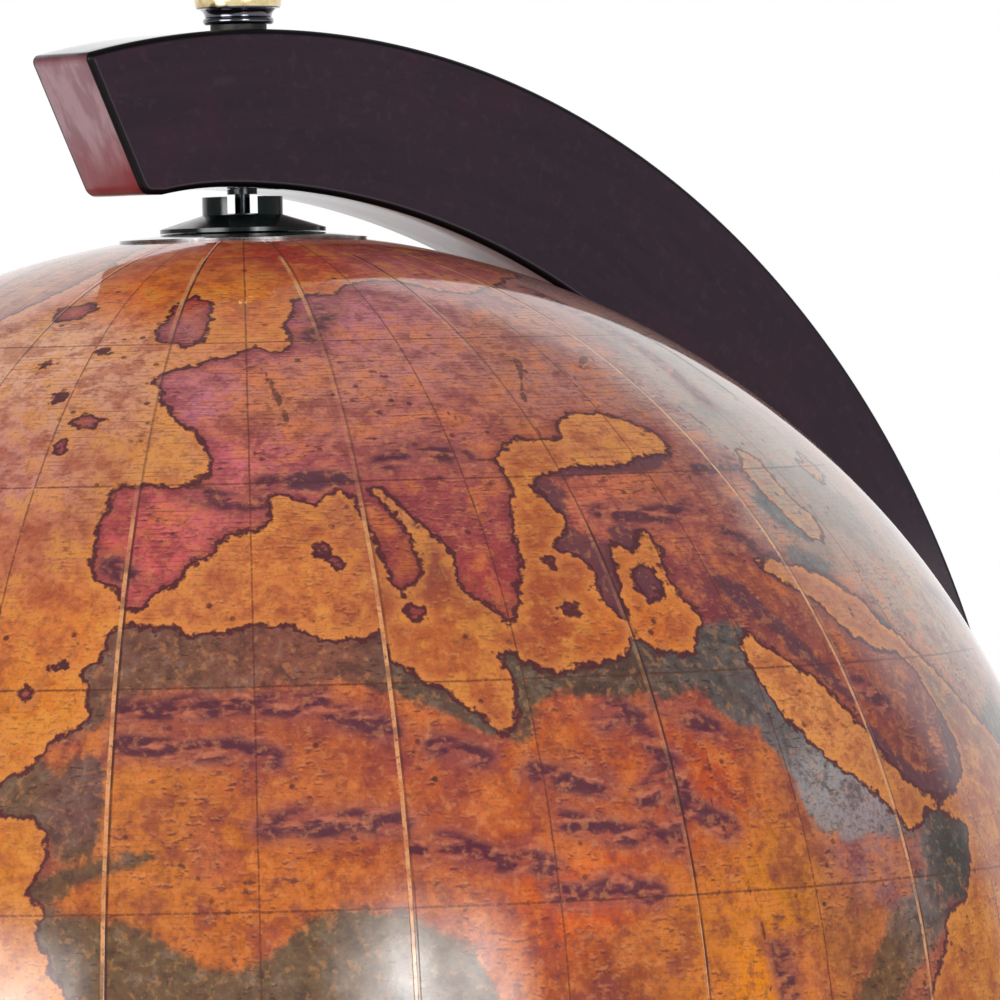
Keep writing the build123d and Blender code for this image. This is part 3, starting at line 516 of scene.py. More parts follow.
def reach_to(lines, closed, grid, reach=30.0):
    """Distance in millimetres from each place of a grid to the nearest drawn line, up to a reach."""
    starts, ends = stepped(lines, closed)
    middles = (starts + ends) / 2
    scale = ball_radius / mm
    longest_piece = 0.02
    tall, wide = 25, 32
    rows, columns = grid.shape[:2]
    found = np.full((rows, columns), reach)
    for row in range(0, rows, tall):
        for column in range(0, columns, wide):
            part = np.s_[row:row + tall, column:column + wide]
            block = grid[part].reshape(-1, 3)
            middle = block.mean(0)
            size = np.linalg.norm(block - middle, axis=1).max()
            near = np.linalg.norm(middles - middle, axis=1) < size + reach / scale + longest_piece
            if not near.any():
                continue
            a = starts[near]
            run = ends[near] - a
            offset = block[:, None, :] - a[None, :, :]
            share = np.clip((offset * run).sum(-1) / (run * run).sum(-1), 0, 1)
            gap = np.linalg.norm(offset - share[..., None] * run, axis=-1).min(1) * scale
            found[part] = np.minimum(gap, reach).reshape(found[part].shape)
    return found


def inside(rings, lon, lat):
    """Which places of a grid of longitudes and latitudes lie inside any of the rings."""
    result = np.zeros((len(lat), len(lon)), bool)
    for ring in rings:
        p = np.array(ring, float)
        q = np.roll(p, -1, axis=0)
        within = np.zeros_like(result)
        for column, value in enumerate(lon):
            for x in (value - 360, value, value + 360):
                crossed = (p[:, 0] <= x) != (q[:, 0] <= x)
                if crossed.any():
                    a, b = p[crossed], q[crossed]
                    height = a[:, 1] + (x - a[:, 0]) / (b[:, 0] - a[:, 0]) * (b[:, 1] - a[:, 1])
                    within[:, column] ^= (height[None, :] > lat[:, None]).sum(1) % 2 == 1
        result |= within
    return result


def signed(rings, grid, lon, lat):
    """Distance in millimetres to the rings, above 0 inside them."""
    return reach_to(rings, True, grid) * np.where(inside(rings, lon, lat), 1, -1)


def painted(paint, grid, softness=0.03, fall=1.7):
    """Colours blended from the nearest painted places."""
    paint = np.array(paint, float)
    places = directions(paint[:, 0], paint[:, 1])
    colours = np.array([rgb(*row)[:3] for row in paint[:, 2:]])
    flat = grid.reshape(-1, 3)
    gap = np.arccos(np.clip(flat @ places.T, -1, 1))
    weight = 1 / (gap ** 2 + softness ** 2) ** fall
    mixed = weight @ colours / weight.sum(1)[:, None]
    return np.concatenate([mixed, np.ones((len(mixed), 1))], 1).reshape(grid.shape[:2] + (4,))


def smooth_mesh(name, points, faces):
    """A mesh with all its faces shaded smooth, from an array of points."""
    mesh = bpy.data.meshes.new(name)
    mesh.from_pydata(points.tolist(), [], faces)
    mesh.polygons.foreach_set("use_smooth", np.ones(len(faces), bool))
    return mesh


def stored(mesh, key, kind, values):
    """Numbers or colours stored at a mesh's points."""
    layer = mesh.attributes.new(key, kind, "POINT")
    layer.data.foreach_set("value" if kind == "FLOAT" else "color", values.astype(np.float32).ravel())


def cap(name, sign, columns=640, rows=150):
    """Half the ball's skin with the map's drawing stored at its points."""
    pole_hole, equator_gap = 0.00605, 0.004
    highest = 90 - math.degrees(math.asin(pole_hole / ball_radius))
    lat = np.linspace(equator_gap, highest, rows) * sign
    lon = np.linspace(-180, 180, columns, endpoint=False)
    grid = directions(lon[None, :], lat[:, None])
    points = grid.reshape(-1, 3) * ball_radius + np.array(centre)
    first = np.arange(rows - 1)[:, None] * columns
    here = np.arange(columns)[None, :]
    there = (here + 1) % columns
    faces = np.stack([first + here, first + there, first + columns + there, first + columns + here], -1)
    mesh = smooth_mesh(name, points, faces.reshape(-1, 4)[:, ::sign].tolist())

    land = np.maximum(signed([old_world], grid, lon, lat), signed([new_world] + islands, grid, lon, lat))
    land = np.minimum(land, -signed(inland_seas, grid, lon, lat))
    numbers = {
        "land": land,
        "olive": signed(olive_rings, grid, lon, lat),
        "plum": signed(plum_rings, grid, lon, lat),
        "range": reach_to(mountains, False, grid),
        "river": reach_to(rivers, False, grid),
    }
    for key, values in numbers.items():
        stored(mesh, key, "FLOAT", values)
    for key, paint in (("land_colour", land_paint), ("sea_colour", sea_paint), ("olive_colour", olive_paint)):
        stored(mesh, key, "FLOAT_COLOR", painted(paint, grid))

    # Flat chart of the half, a UV map for baked textures
    chart_reach = 0.49
    spread = chart_reach * (90 - np.abs(lat))[:, None] / 90
    bearing = np.radians(lon)[None, :]
    chart = np.stack([0.5 + spread * np.cos(bearing), 0.5 + sign * spread * np.sin(bearing)], -1)
    layer = mesh.uv_layers.new(name="OFBake")
    corners = np.empty(len(mesh.loops), np.int32)
    mesh.loops.foreach_get("vertex_index", corners)
    layer.data.foreach_set("uv", chart.reshape(-1, 2)[corners].astype(np.float32).ravel())
    mesh.update()
    return mesh


def added(name, mesh, body, material, replaced=()):
    """A finished piece in the scene, riding on its body."""
    piece = bpy.data.objects.new(name, mesh)
    bpy.context.scene.collection.objects.link(piece)
    piece.data.materials.clear()
    piece.data.materials.append(material)
    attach(piece, body)
    if replaced:
        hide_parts(*replaced)
    return piece


def rose(g, place, paper, lon, lat, size, far):
    """Paper with a compass rose and its rhumb lines drawn on it, about a place on the map."""
    bearing = math.radians(lon + facing)
    out = Vector(directions(lon, lat))
    east = Vector((-math.sin(bearing), math.cos(bearing), 0))
    u, v, w = [g.dot(place, way) for way in (east, out.cross(east), out)]
    front = g.ramp(w, 0.0, 1.0)
    reach = g.math("SQRT", u * u + v * v)
    turn = g.math("ARCTAN2", u, v) * (180 / math.pi)

    def folded(count):
        """How far a place lies along, and beside, the nearest of a number of rays."""
        fold = g.math("PINGPONG", turn, 180 / count) * (math.pi / 180)
        return reach * g.math("COSINE", fold), reach * g.math("SINE", fold)

    dark, light = rgb(92, 36, 38), rgb(232, 176, 112)
    beside = folded(16)[1]
    lines = g.ramp(beside, 0.2, 0.08) * g.ramp(reach, size * 1.1, size * 1.12) * g.ramp(reach, far, far * 0.8)
    rings = g.math("MAXIMUM", g.spot(reach - size * 0.62, 0.12, 0.12), g.spot(reach - size * 1.1, 0.2, 0.14))
    paper = g.mix(paper, dark, g.math("MAXIMUM", lines * 0.6, rings * 0.75) * front)
    for count, length, waist in ((16, 0.6, 0.42), (8, 0.84, 0.3), (4, 1.08, 0.24)):
        slope = waist * math.sin(math.pi / count) / (length - waist * math.cos(math.pi / count))
        along, beside = folded(count)
        edge = beside - (size * length - along) * slope
        half = g.ramp(g.math("FRACT", turn * (count / 360)), 0.498, 0.502)
        paper = g.mix(paper, g.mix(light, dark, half * 0.85), g.ramp(edge, 0.08, -0.08) * front * 0.9)
        paper = g.mix(paper, dark, g.spot(edge, 0.1, 0.12) * front * 0.8)
    return paper


def map_material():
    """Printed gores under a coat of varnish."""
    g = Graph("map_gores")
    place = g.place(centre)
    x, y, z = g.parts(place)
    radius = ball_radius / mm
    gore_degrees, parallel_degrees = 20, 15
    lat = g.math("ARCSINE", z / radius)
    lon = g.math("ARCTAN2", y, x) * (180 / math.pi) - facing + gore_degrees / 2
    gore = lon / gore_degrees
    share = g.math("FRACT", gore)
    number = g.math("FLOOR", gore)
    width = g.math("COSINE", lat) * (radius * math.radians(gore_degrees))
    across_gore = (share - 0.5) * width
    along = lat * radius

    def at_lat(low, high):
        """0 up to a latitude and 1 from another, both in degrees."""
        return g.ramp(lat, math.radians(low), math.radians(high))

    def streaks(flat, steep, turn, detail, rough, seed, shift=0.0):
        """Noise drawn out along the lines of latitude, other in each gore."""
        lying = g.vector(across_gore * flat + number * turn, along * steep - shift, 0.0)
        return g.noise(lying, 1.0, detail, rough, seed=seed)

    # Wobbles of a hand-drawn line
    coarse = g.noise(place, 9.0, 3, 0.6)
    fine = g.noise(place, 1.9, 2, 0.6, seed=3.1)
    wobble = (coarse - 0.5) * 5.0 + (fine - 0.5) * 3.4
    blots = g.noise(place, 17.0, 3, 0.6, seed=7.7)
    mottle = g.noise(place, 3.6, 3, 0.7, seed=1.9)
    grain = g.noise(place, 0.8, 2, 0.6, seed=5.3)

    shore = g.attribute("land") + wobble
    on_land = g.ramp(shore, -0.12, 0.12)

    # Level lines, short strokes of ink with a painted highlight along their upper edge as if the ink stood in
    # relief, and scattered specks
    lying = g.vector(across_gore * 0.16 + number * 11.0, along * 0.9, number * 3.0)
    strokes = g.noise(lying, 1.0, 2, 0.55)
    rows = g.math("PINGPONG", along + (coarse - 0.5) * 1.2, 0.55)
    hatched = g.ramp(rows, 0.24, 0.05) * g.ramp(strokes, 0.46, 0.56) * (at_lat(33, 40) * 0.65 + 0.35)
    clumps = g.noise(place, 11.0, 2, 0.6, seed=21.0)
    short, above = (streaks(0.42, 1.25, 7.0, 2, 0.6, 4.4, shift) for shift in (0.0, 0.62))
    # Painted reflection: east of 60 degrees and north of about 35, where the varnish mirrors the white
    # surroundings near the ball's edge, marks and blotches are weakened and grey-blue patches laid on
    painted_veil_zone = g.ramp(lon, 60.0, 66.0) * g.ramp(lon, 125.0, 105.0) * at_lat(35, 38)
    busy = (g.ramp(clumps, 0.42, 0.58) * 0.75 + 0.2) * (1.0 - painted_veil_zone * 0.8)
    ink = g.ramp(short, 0.57, 0.66) * busy
    # Painted highlight: a pale copy of the ink strokes, shifted above them, where raised ink would catch the
    # light
    painted_glint = g.ramp(above, 0.57, 0.66) * (1.0 - ink) * busy
    patch = g.noise(place, 7.0, 3, 0.6, seed=33.0)
    specks = g.ramp(g.cells(place, 4.6), 0.17, 0.09) * g.ramp(clumps, 0.42, 0.56)

    # Sea
    sea = g.layers(
        g.attribute("sea_colour", colour=True),
        (176, 82, 40, g.ramp(mottle, 0.48, 0.66) * 0.5),
        (236, 160, 70, g.ramp(mottle, 0.5, 0.34) * 0.35),
        (196, 96, 62, g.ramp(blots, 0.52, 0.66) * 0.35),
        (168, 74, 50, g.ramp(patch, 0.52, 0.62) * 0.5),
        (242, 160, 66, g.ramp(patch, 0.48, 0.38) * 0.45),
        (112, 48, 34, hatched * g.ramp(shore, -9.0, -1.0) * 0.5),
        # Painted highlight above the ink strokes
        (244, 176, 104, painted_glint * 0.22),
        (112, 48, 42, ink * 0.5),
        (84, 32, 34, specks * 0.85),
    )

    for spot in ((-148, 19, 34, 120), (78, -32, 20, 66)):
        sea = rose(g, place, sea, *spot)

    # Land
    land = g.layers(
        g.attribute("land_colour", colour=True),
        (214, 120, 54, g.ramp(blots, 0.53, 0.66) * (0.45 - painted_veil_zone * 0.3)),
        (168, 72, 76, g.ramp(blots, 0.46, 0.34) * (0.4 - painted_veil_zone * 0.35)),
        # Painted reflection: grey-blue patches in the veiled zone
        (112, 124, 122, painted_veil_zone * g.ramp(blots, 0.5, 0.6) * 0.5),
        (136, 50, 58, g.ramp(patch, 0.52, 0.62) * (0.5 - painted_veil_zone * 0.4)),
        (236, 132, 58, g.ramp(patch, 0.48, 0.38) * (0.45 - painted_veil_zone * 0.4)),
        (118, 46, 50, g.ramp(mottle, 0.5, 0.68) * (0.5 - painted_veil_zone * 0.4)),
        (232, 136, 74, g.ramp(mottle, 0.48, 0.34) * 0.3),
        (164, 56, 66, g.ramp(shore, 5.0, 0.6) * (0.3 - painted_veil_zone * 0.3)),
        (112, 46, 60, g.ramp(shore, 2.4, 0.5) * (0.4 - painted_veil_zone * 0.3)),
        (98, 40, 46, hatched * (0.45 - painted_veil_zone * 0.3)),
        # Painted highlight above the ink strokes
        (238, 158, 112, painted_glint * 0.26),
        (86, 34, 44, ink * 0.65),
        (66, 24, 30, specks * 0.75),
    )

    # Mountains: soft broken strokes along each chain over a dull wash, with a painted highlight along their
    # tops
    chain = g.attribute("range") + (fine - 0.5) * 2.6
    smears, painted_top_highlight = (streaks(0.14, 0.33, 5.0, 3, 0.55, 2.6, shift) for shift in (0.0, 0.45))
    crests = g.ramp(chain, 3.4, 1.4) * g.ramp(smears, 0.42, 0.54)
    land = g.layers(
        land,
        (146, 72, 76, g.ramp(chain, 5.6, 1.4) * 0.6),
        # Painted highlight: a pale copy of the mountain strokes, shifted above them
        (224, 132, 98, g.ramp(chain, 4.0, 1.8) * g.ramp(painted_top_highlight, 0.46, 0.6) * 0.5),
        (80, 34, 56, crests * (g.ramp(fine, 0.3, 0.6) * 0.3 + 0.62)),
    )

    # Rivers
    stream = g.spot(g.attribute("river") + (coarse - 0.5) * 3.0, 0.2, 0.24) * g.ramp(strokes, 0.34, 0.44)
    land = g.mix(land, rgb(84, 38, 36), stream * 0.75)

    # Washes
    olive_edge = g.attribute("olive") + (coarse - 0.5) * 4.4 + (fine - 0.5) * 4.0
    olive = g.layers(
        g.attribute("olive_colour", colour=True),
        (56, 44, 42, g.ramp(mottle, 0.48, 0.66) * 0.6),
        (142, 128, 116, g.ramp(mottle, 0.48, 0.36) * 0.35),
        (150, 84, 50, g.ramp(grain, 0.56, 0.7) * 0.35),
        (44, 28, 30, ink * 0.6),
    )
    olive_share = g.ramp(olive_edge + (mottle - 0.5) * 1.2, -1.4, 1.0) * g.ramp(shore, 0.0, 0.3)
    plum_edge = g.attribute("plum") + (coarse - 0.5) * 3.0 + (fine - 0.5) * 2.4
    plum = g.mix(rgb(92, 50, 66), rgb(136, 66, 66), g.ramp(mottle, 0.5, 0.64) * 0.6)
    land = g.mix(land, plum, g.ramp(plum_edge, -0.3, 1.0) * 0.85)
    land = g.mix(land, olive, olive_share * 0.94)

    paper = g.mix(sea, land, on_land)
    paper = g.mix(paper, rgb(104, 44, 44), g.ramp(fine, 0.54, 0.68) * (0.26 - painted_veil_zone * 0.16))
    paper = g.mix(paper, rgb(240, 160, 96), g.ramp(fine, 0.46, 0.32) * (0.24 - painted_veil_zone * 0.14))
    # Bright rim in the sea, dark line on the shore
    rim = g.ramp(shore, -2.6, -0.5) * g.ramp(shore, 0.05, -0.15)
    paper = g.mix(paper, rgb(238, 148, 70), rim * g.ramp(mottle, 0.3, 0.56) * 0.55)
    pressed = g.ramp(strokes, 0.2, 0.44) * 0.5 + 0.4
    paper = g.mix(paper, rgb(82, 30, 40), g.spot(shore - 0.2, 0.26, 0.5) * pressed)

    # Lines of latitude and longitude
    meridian = g.spot(across_gore + (coarse - 0.5) * 0.3, 0.1, 0.16)
    step = radius * math.radians(parallel_degrees)
    drift = at_lat(43, 31) * at_lat(0, 10) * 2.8
    parallel = g.math("PINGPONG", along + drift + (coarse - 0.5) * 0.3, step / 2)
    near_parallel = g.ramp(parallel, 0.3, 0.14)
    ruled = g.math("MAXIMUM", meridian, near_parallel) * g.ramp(grain, 0.25, 0.5)
    paper = g.mix(paper, rgb(92, 40, 30), ruled * 0.66)

    # Joints of the gores: bare paper beside a dark overlap
    to_west = (1.0 - share) * width + (coarse - 0.5) * 0.3
    to_east = share * width
    gore_end = 75.0
    short_of_pole = g.ramp(abs(lat), math.radians(gore_end + 0.5), math.radians(gore_end))
    worn = g.noise(g.vector(number * 9.0, along * 0.12, 0.0), 1.0, 2, 0.6, seed=30.0)
    seam = g.ramp(abs(g.math("FRACT", number * 0.618 + 0.3) - 0.5), 0.34, 0.22) * 0.8 + 0.2
    seam = seam * (g.ramp(worn, 0.4, 0.55) * 0.6 + 0.4) * short_of_pole
    dip = at_lat(40, 45) * at_lat(68, 60)
    seam = seam * (1.0 - dip * g.ramp(lon, 50.0, 42.0) * 0.8)
    pale_painted_light = g.ramp(to_west, 0.9, 0.7) * g.ramp(to_west, 0.0, 0.12)
    lap = g.ramp(to_east, 0.62, 0.3)
    paper = g.mix(paper, rgb(238, 168, 112), pale_painted_light * seam * g.ramp(grain, 0.24, 0.5))
    paper = g.mix(paper, rgb(70, 32, 26), lap * (seam * 0.5 + 0.4))

    # Age
    paper = g.mix(paper, rgb(92, 44, 26), g.ramp(g.noise(place, 70.0, 5, 0.7, seed=9.2), 0.5, 0.8) * 0.35)
    paper = g.mix(paper, rgb(96, 44, 34), g.ramp(grain, 0.54, 0.7) * 0.3)

    swell = g.noise(place, 38.0, 2, 0.5, seed=12.0)
    pores = g.noise(place, 1.4, 2, 0.6, seed=14.0)
    level = swell * 0.25 + pores * 0.008 - pale_painted_light * 0.03 + lap * 0.03
    g.set(
        Base_Color=paper,
        Roughness=g.ramp(mottle, 0.2, 0.8) * 0.14 + 0.4,
        Specular_IOR_Level=0.08,
        Coat_Weight=1.0,
        Coat_Roughness=0.055,
        Coat_IOR=1.5,
        Normal=g.bump(level + grain * 0.02, 1.0),
    )
    g.feed(g.shader.inputs["Coat Normal"], g.bump(level, 1.0))
    return g.material


skin = map_material()
added("globe_map_north", cap("globe_map_north", 1), "globe", skin, ["north_hemisphere"])
added("globe_map_south", cap("globe_map_south", -1), "globe", skin, ["south_hemisphere"])


# ---------------------------------------------------------------- other finishes

def stained_wood(name, along, origin=(0, 0, 0)):
    """Dark stained wood under polished lacquer; the grain runs along an axis or round the arm's arc."""
    g = Graph(name)
    x, y, z = g.parts(g.place(origin))
    if along == "arc":
        run = g.vector(g.math("SQRT", x * x + z * z), y, g.math("ARCTAN2", z, x) * 16.0)
    else:
        run = g.vector(*[place * 0.08 if axis == along else place for axis, place in zip("xyz", (x, y, z))])
    here = g.vector(x, y, z)
    bands = g.noise(run, 5.0, 4, 0.6)
    pores = g.noise(run, 0.7, 3, 0.65, seed=2.0)
    cloud = g.noise(here, 22.0, 3, 0.6, seed=4.0)
    fleck = g.noise(here, 2.4, 3, 0.7, seed=8.0)
    colour = g.mix(rgb(40, 19, 37), rgb(47, 24, 42), g.ramp(bands, 0.35, 0.65))
    colour = g.layers(
        colour,
        (66, 22, 40, g.ramp(cloud, 0.48, 0.7) * 0.35),
        (22, 12, 22, g.ramp(pores, 0.52, 0.68) * 0.3),
        (70, 48, 60, g.ramp(fleck, 0.54, 0.68) * 0.3),
    )
    g.colour = colour
    g.here = (x, y, z)
    g.set(
        Base_Color=colour,
        Roughness=g.ramp(bands, 0.2, 0.8) * 0.1 + 0.4,
        Specular_IOR_Level=0.1,
        Coat_Weight=1.0,
        Coat_Roughness=0.06,
        Coat_IOR=1.5,
        Normal=g.bump(pores * -0.05 + bands * 0.04 + fleck * 0.02, 1.0),
    )
    return g


def arm_material():
    """The arm's finish with painted light: arrises painted near-black as shade, end faces painted pale as
    lit, redder at the top and with a painted reflection of the ball low down, the face towards the ball
    painted pale as a reflection, and painted shade lower down the arm.
    """
    g = stained_wood("arm_wood", "arc", centre)
    x, y, z = g.here
    height = abs(z)
    slant, end_face, end_low, end_high = math.radians(tip_slant), 48.0, 176.0, 198.8
    depth = x * math.cos(slant) + height * math.sin(slant) - end_face
    end = g.ramp(depth, 0.9, 0.2)
    normal = g.parts(g.node("ShaderNodeTexCoord", output="Normal"))
    sideways = abs(normal[1])
    # Painted shade: the eased edges are painted near-black and lose their coat, so they show no highlight
    arris_painted_shade = g.ramp(sideways, 0.03, 0.2) * g.ramp(sideways, 0.998, 0.95)
    outwards = (normal[0] * x + normal[2] * z) / g.math("SQRT", x * x + z * z)
    cloud = g.noise(g.vector(x * 0.4, y, z * 0.4), 5.0, 3, 0.6, seed=15.0)
    # Painted light: the end faces are painted pale, as lit and mirroring the white surroundings
    pale_painted_light = g.mix(rgb(150, 104, 114), rgb(180, 142, 150), g.ramp(cloud, 0.4, 0.6))
    # Painted reflection: the face towards the ball is painted pale, as it mirrors the white surroundings
    inner_painted_reflection = g.mix(pale_painted_light, rgb(196, 172, 178), 0.6)
    # Painted reflection of the ball: the lower part of each end face is painted red
    ball_painted_reflection = g.ramp(height + (cloud - 0.5) * 10.0, end_low + 11.0, end_low)
    pale_painted_light = g.mix(pale_painted_light, rgb(142, 34, 44), ball_painted_reflection * 0.85)
    pale_painted_light = g.mix(pale_painted_light, rgb(122, 46, 54), g.ramp(height, end_high - 1.2, end_high) * 0.7)
    # Painted shade: the arm darkens towards its lower end
    colour = g.mix(g.colour, rgb(30, 16, 28), g.ramp(z, 60.0, -20.0) * 0.4)
    # Painted reflection on the face towards the ball
    colour = g.mix(colour, inner_painted_reflection, g.ramp(outwards, -0.75, -0.9))
    # Painted light on the end faces
    colour = g.mix(colour, pale_painted_light, end)
    g.set(Base_Color=g.mix(colour, rgb(8, 4, 9), arris_painted_shade), Coat_Weight=1.0 - arris_painted_shade * 0.95)
    return g.material


def brass(name, foot=-1.0):
    """Lacquered brass, turned, a little dull in patches; below a height it is black nickel."""
    g = Graph(name)
    place = g.place()
    x, y, z = g.parts(place)
    rings = g.noise(g.vector(0.0, 0.0, z), 0.12, 1, 0.5)
    tarnish = g.noise(place, 4.0, 4, 0.65, seed=3.0)
    colour = g.mix(rgb(226, 208, 162), rgb(176, 146, 92), g.ramp(tarnish, 0.42, 0.75))
    nickel = g.ramp(z, foot, foot - 0.15)
    g.set(
        Base_Color=g.mix(colour, rgb(70, 70, 80), nickel),
        Metallic=1.0,
        Roughness=g.ramp(tarnish, 0.3, 0.8) * 0.12 + 0.12,
        Coat_Weight=nickel,
        Coat_Roughness=0.04,
        Normal=g.bump(rings, 0.001),
    )
    return g.material


def dark_metal(name):
    """Blackened sheet under lacquer."""
    g = Graph(name)
    place = g.place()
    stain = g.noise(place, 3.0, 3, 0.6)
    g.set(
        Base_Color=g.mix(rgb(98, 94, 92), rgb(70, 70, 70), g.ramp(stain, 0.4, 0.6)),
        Metallic=1.0,
        Roughness=g.ramp(stain, 0.3, 0.7) * 0.1 + 0.24,
        Coat_Weight=1.0,
        Coat_Roughness=0.06,
        Normal=g.bump(g.noise(place, 0.5, 2, 0.6), 0.002),
    )
    return g.material


def steel(name, light=rgb(196, 196, 200), dark=rgb(140, 138, 140)):
    """Turned steel with faint rings."""
    g = Graph(name)
    place = g.place()
    x, y, z = g.parts(place)
    rings = g.noise(g.vector(0.0, 0.0, z), 0.12, 1, 0.5)
    stain = g.noise(place, 3.0, 3, 0.6)
    g.set(
        Base_Color=g.mix(light, dark, g.ramp(stain, 0.4, 0.8)),
        Metallic=1.0,
        Roughness=g.ramp(stain, 0.3, 0.8) * 0.12 + 0.2,
        Normal=g.bump(rings, 0.001),
    )
    return g.material


def matt(name, light, dark, rough, size=2.0, depth=0.03, shine=0.5):
    """Plastic, fibre, board or bare wood with a fine grain."""
    g = Graph(name)
    place = g.place()
    grain = g.noise(place, size, 4, 0.65)
    fine = g.noise(place, size / 6, 2, 0.6, seed=6.0)
    g.set(
        Base_Color=g.mix(light, dark, g.ramp(grain, 0.35, 0.7)),
        Roughness=g.ramp(grain, 0.3, 0.7) * 0.12 + rough,
        Specular_IOR_Level=shine,
        Normal=g.bump(fine, depth),
    )
    return g.material


def scale_material():
    """Printed tape round the equator: a scale of degrees between two rules."""
    g = Graph("map_tape")
    place = g.place(centre)
    x, y, z = g.parts(place)
    degrees = g.math("ARCTAN2", y, x) * (180 / math.pi) - facing
    mottle = g.noise(place, 3.0, 4, 0.65)
    grain = g.noise(place, 0.8, 2, 0.6, seed=2.0)
    line = z + (g.noise(place, 9.0, 2, 0.5, seed=6.0) - 0.5) * 0.2
    paper = g.mix(rgb(222, 168, 108), rgb(184, 112, 66), g.ramp(mottle, 0.42, 0.62))
    rules = g.spot(abs(line) - 2.35, 0.12, 0.08)
    blocks = g.ramp(g.math("PINGPONG", degrees, 10.0), 4.98, 5.02) * g.spot(line - 1.25, 0.5, 0.06)
    ticks = g.ramp(g.math("PINGPONG", degrees, 0.5), 0.06, 0.03) * g.spot(line + 0.9, 0.75, 0.06)
    fives = g.ramp(g.math("PINGPONG", degrees, 2.5), 0.08, 0.05) * g.spot(line + 0.6, 1.1, 0.06)
    print_on = g.math("MAXIMUM", g.math("MAXIMUM", rules, blocks), g.math("MAXIMUM", ticks, fives))
    paper = g.mix(paper, rgb(70, 30, 28), print_on * (g.ramp(grain, 0.3, 0.5) * 0.3 + 0.6))
    g.set(
        Base_Color=paper,
        Roughness=g.ramp(mottle, 0.3, 0.7) * 0.12 + 0.4,
        Specular_IOR_Level=0.1,
        Coat_Weight=1.0,
        Coat_Roughness=0.055,
        Normal=g.bump(grain, 0.02),
    )
    return g.material


# ---------------------------------------------------------------- arm with smooth arcs and eased edges

def arc(middle, start, end, step=0.7):
    """Points along an arc about a middle from a start to an end, the short way, steps in degrees."""
    a = math.atan2(start[1] - middle[1], start[0] - middle[0])
    b = math.atan2(end[1] - middle[1], end[0] - middle[0])
    radius = math.hypot(start[0] - middle[0], start[1] - middle[1])
    steps = max(4, math.ceil(abs(b - a) / math.radians(step)))
    turns = [a + (b - a) * i / steps for i in range(steps + 1)]
    return [(middle[0] + radius * math.cos(turn), middle[1] + radius * math.sin(turn)) for turn in turns]


def rounded(before, corner, after, radius, steps=8):
    """Points round a corner between two straight runs."""
    one = (Vector(before) - Vector(corner)).normalized()
    two = (Vector(after) - Vector(corner)).normalized()
    half = one.angle(two) / 2
    middle = Vector(corner) + (one + two).normalized() * (radius / math.sin(half))
    reach = radius / math.tan(half)
    start, end = Vector(corner) + one * reach - middle, Vector(corner) + two * reach - middle
    return [tuple(middle + start.slerp(end, i / steps).normalized() * radius) for i in range(steps + 1)]


def arm_half():
    """The upper half of the arm's outline, from the equator outside round to the equator inside."""
    bow_radius = math.hypot(bow_shift, inner_height + bow_drop)
    bow = (-bow_shift, -bow_drop)
    waist = outer_arc - arm_waist
    reach = waist + bow_shift
    waist_radius = (bow_radius ** 2 - reach ** 2 - bow_drop ** 2) / (2 * (bow_radius - waist - bow_shift))
    waist_middle = (waist - waist_radius, 0.0)
    turn = math.atan2(bow_drop, waist_middle[0] + bow_shift)
    top = (-bow_shift, bow_radius - bow_drop)
    meet = (bow[0] + bow_radius * math.cos(turn), bow[1] + bow_radius * math.sin(turn))
    land = (-land_reach, inner_height - land_drop)
    toe = (-tip_reach, math.sqrt(outer_arc ** 2 - tip_reach ** 2))
    heel = ((toe[1] - land[1]) * math.tan(math.radians(tip_slant)) - tip_reach, land[1])
    drop = top[1] - land[1]
    tip_radius = ((top[0] - land[0]) ** 2 + drop ** 2) / (2 * drop)
    outer = arc((0, 0), (outer_arc, 0), toe)
    edge = [point for point in outer if point[0] > toe[0] + 2.0]
    toe_round, heel_round = rounded(edge[-1], toe, heel, tip_toe), rounded(toe, heel, land, tip_heel)
    flat = [tuple(Vector(toe_round[-1]).lerp(Vector(heel_round[0]), share)) for share in (0.02, 0.5, 0.98)]
    return (
        edge + toe_round + flat + heel_round
        + arc((top[0], top[1] - tip_radius), land, top)[:-1]
        + arc(bow, top, meet)[:-1] + arc(waist_middle, meet, (waist, 0.0))
    )


def arm_mesh():
    """The arm as rings of its outline, eased at the sides and cut flat at its foot."""
    upper = arm_half()
    outline = np.array(upper + [(x, -z) for x, z in upper[-2:0:-1]])
    before, after = np.roll(outline, 1, axis=0), np.roll(outline, -1, axis=0)
    run_in, run_out = outline - before, after - outline
    run_in /= np.linalg.norm(run_in, axis=1)[:, None]
    run_out /= np.linalg.norm(run_out, axis=1)[:, None]
    left = np.stack([-(run_in + run_out)[:, 1], (run_in + run_out)[:, 0]], -1)
    left /= np.linalg.norm(left, axis=1)[:, None]
    left /= np.abs((left * np.stack([-run_in[:, 1], run_in[:, 0]], -1)).sum(1))[:, None]
    half = arm_high.y / mm
    turns = np.radians(range(0, 91, 15))
    rows = [(arm_edge * (1 - math.cos(a)), half - arm_edge + arm_edge * math.sin(a)) for a in turns]
    rows = [(0.0, 0.0), (0.0, (half - arm_edge) / 2)] + rows + [(arm_edge, half)]
    rows = [(inset, -y) for inset, y in rows[:0:-1]] + rows
    foot = arm_low.z / mm - centre.z / mm
    points = []
    for inset, y in rows:
        ring = outline + left * inset
        height = np.maximum(ring[:, 1], foot)
        points.append(np.stack([ring[:, 0], np.full(len(ring), y), height], -1))
    points = np.concatenate(points) * mm + np.array(centre)
    count = len(outline)
    here = np.arange(count)
    there = (here + 1) % count
    faces = []
    for row in range(1, len(rows) - 2):
        low, high = row * count, (row + 1) * count
        faces += np.stack([low + here, high + here, high + there, low + there], -1).tolist()
    faces += [here.tolist(), (here[::-1] + (len(rows) - 1) * count).tolist()]
    mesh = smooth_mesh("arm_board", points, faces)
    mesh.validate()
    mesh.update()
    return mesh


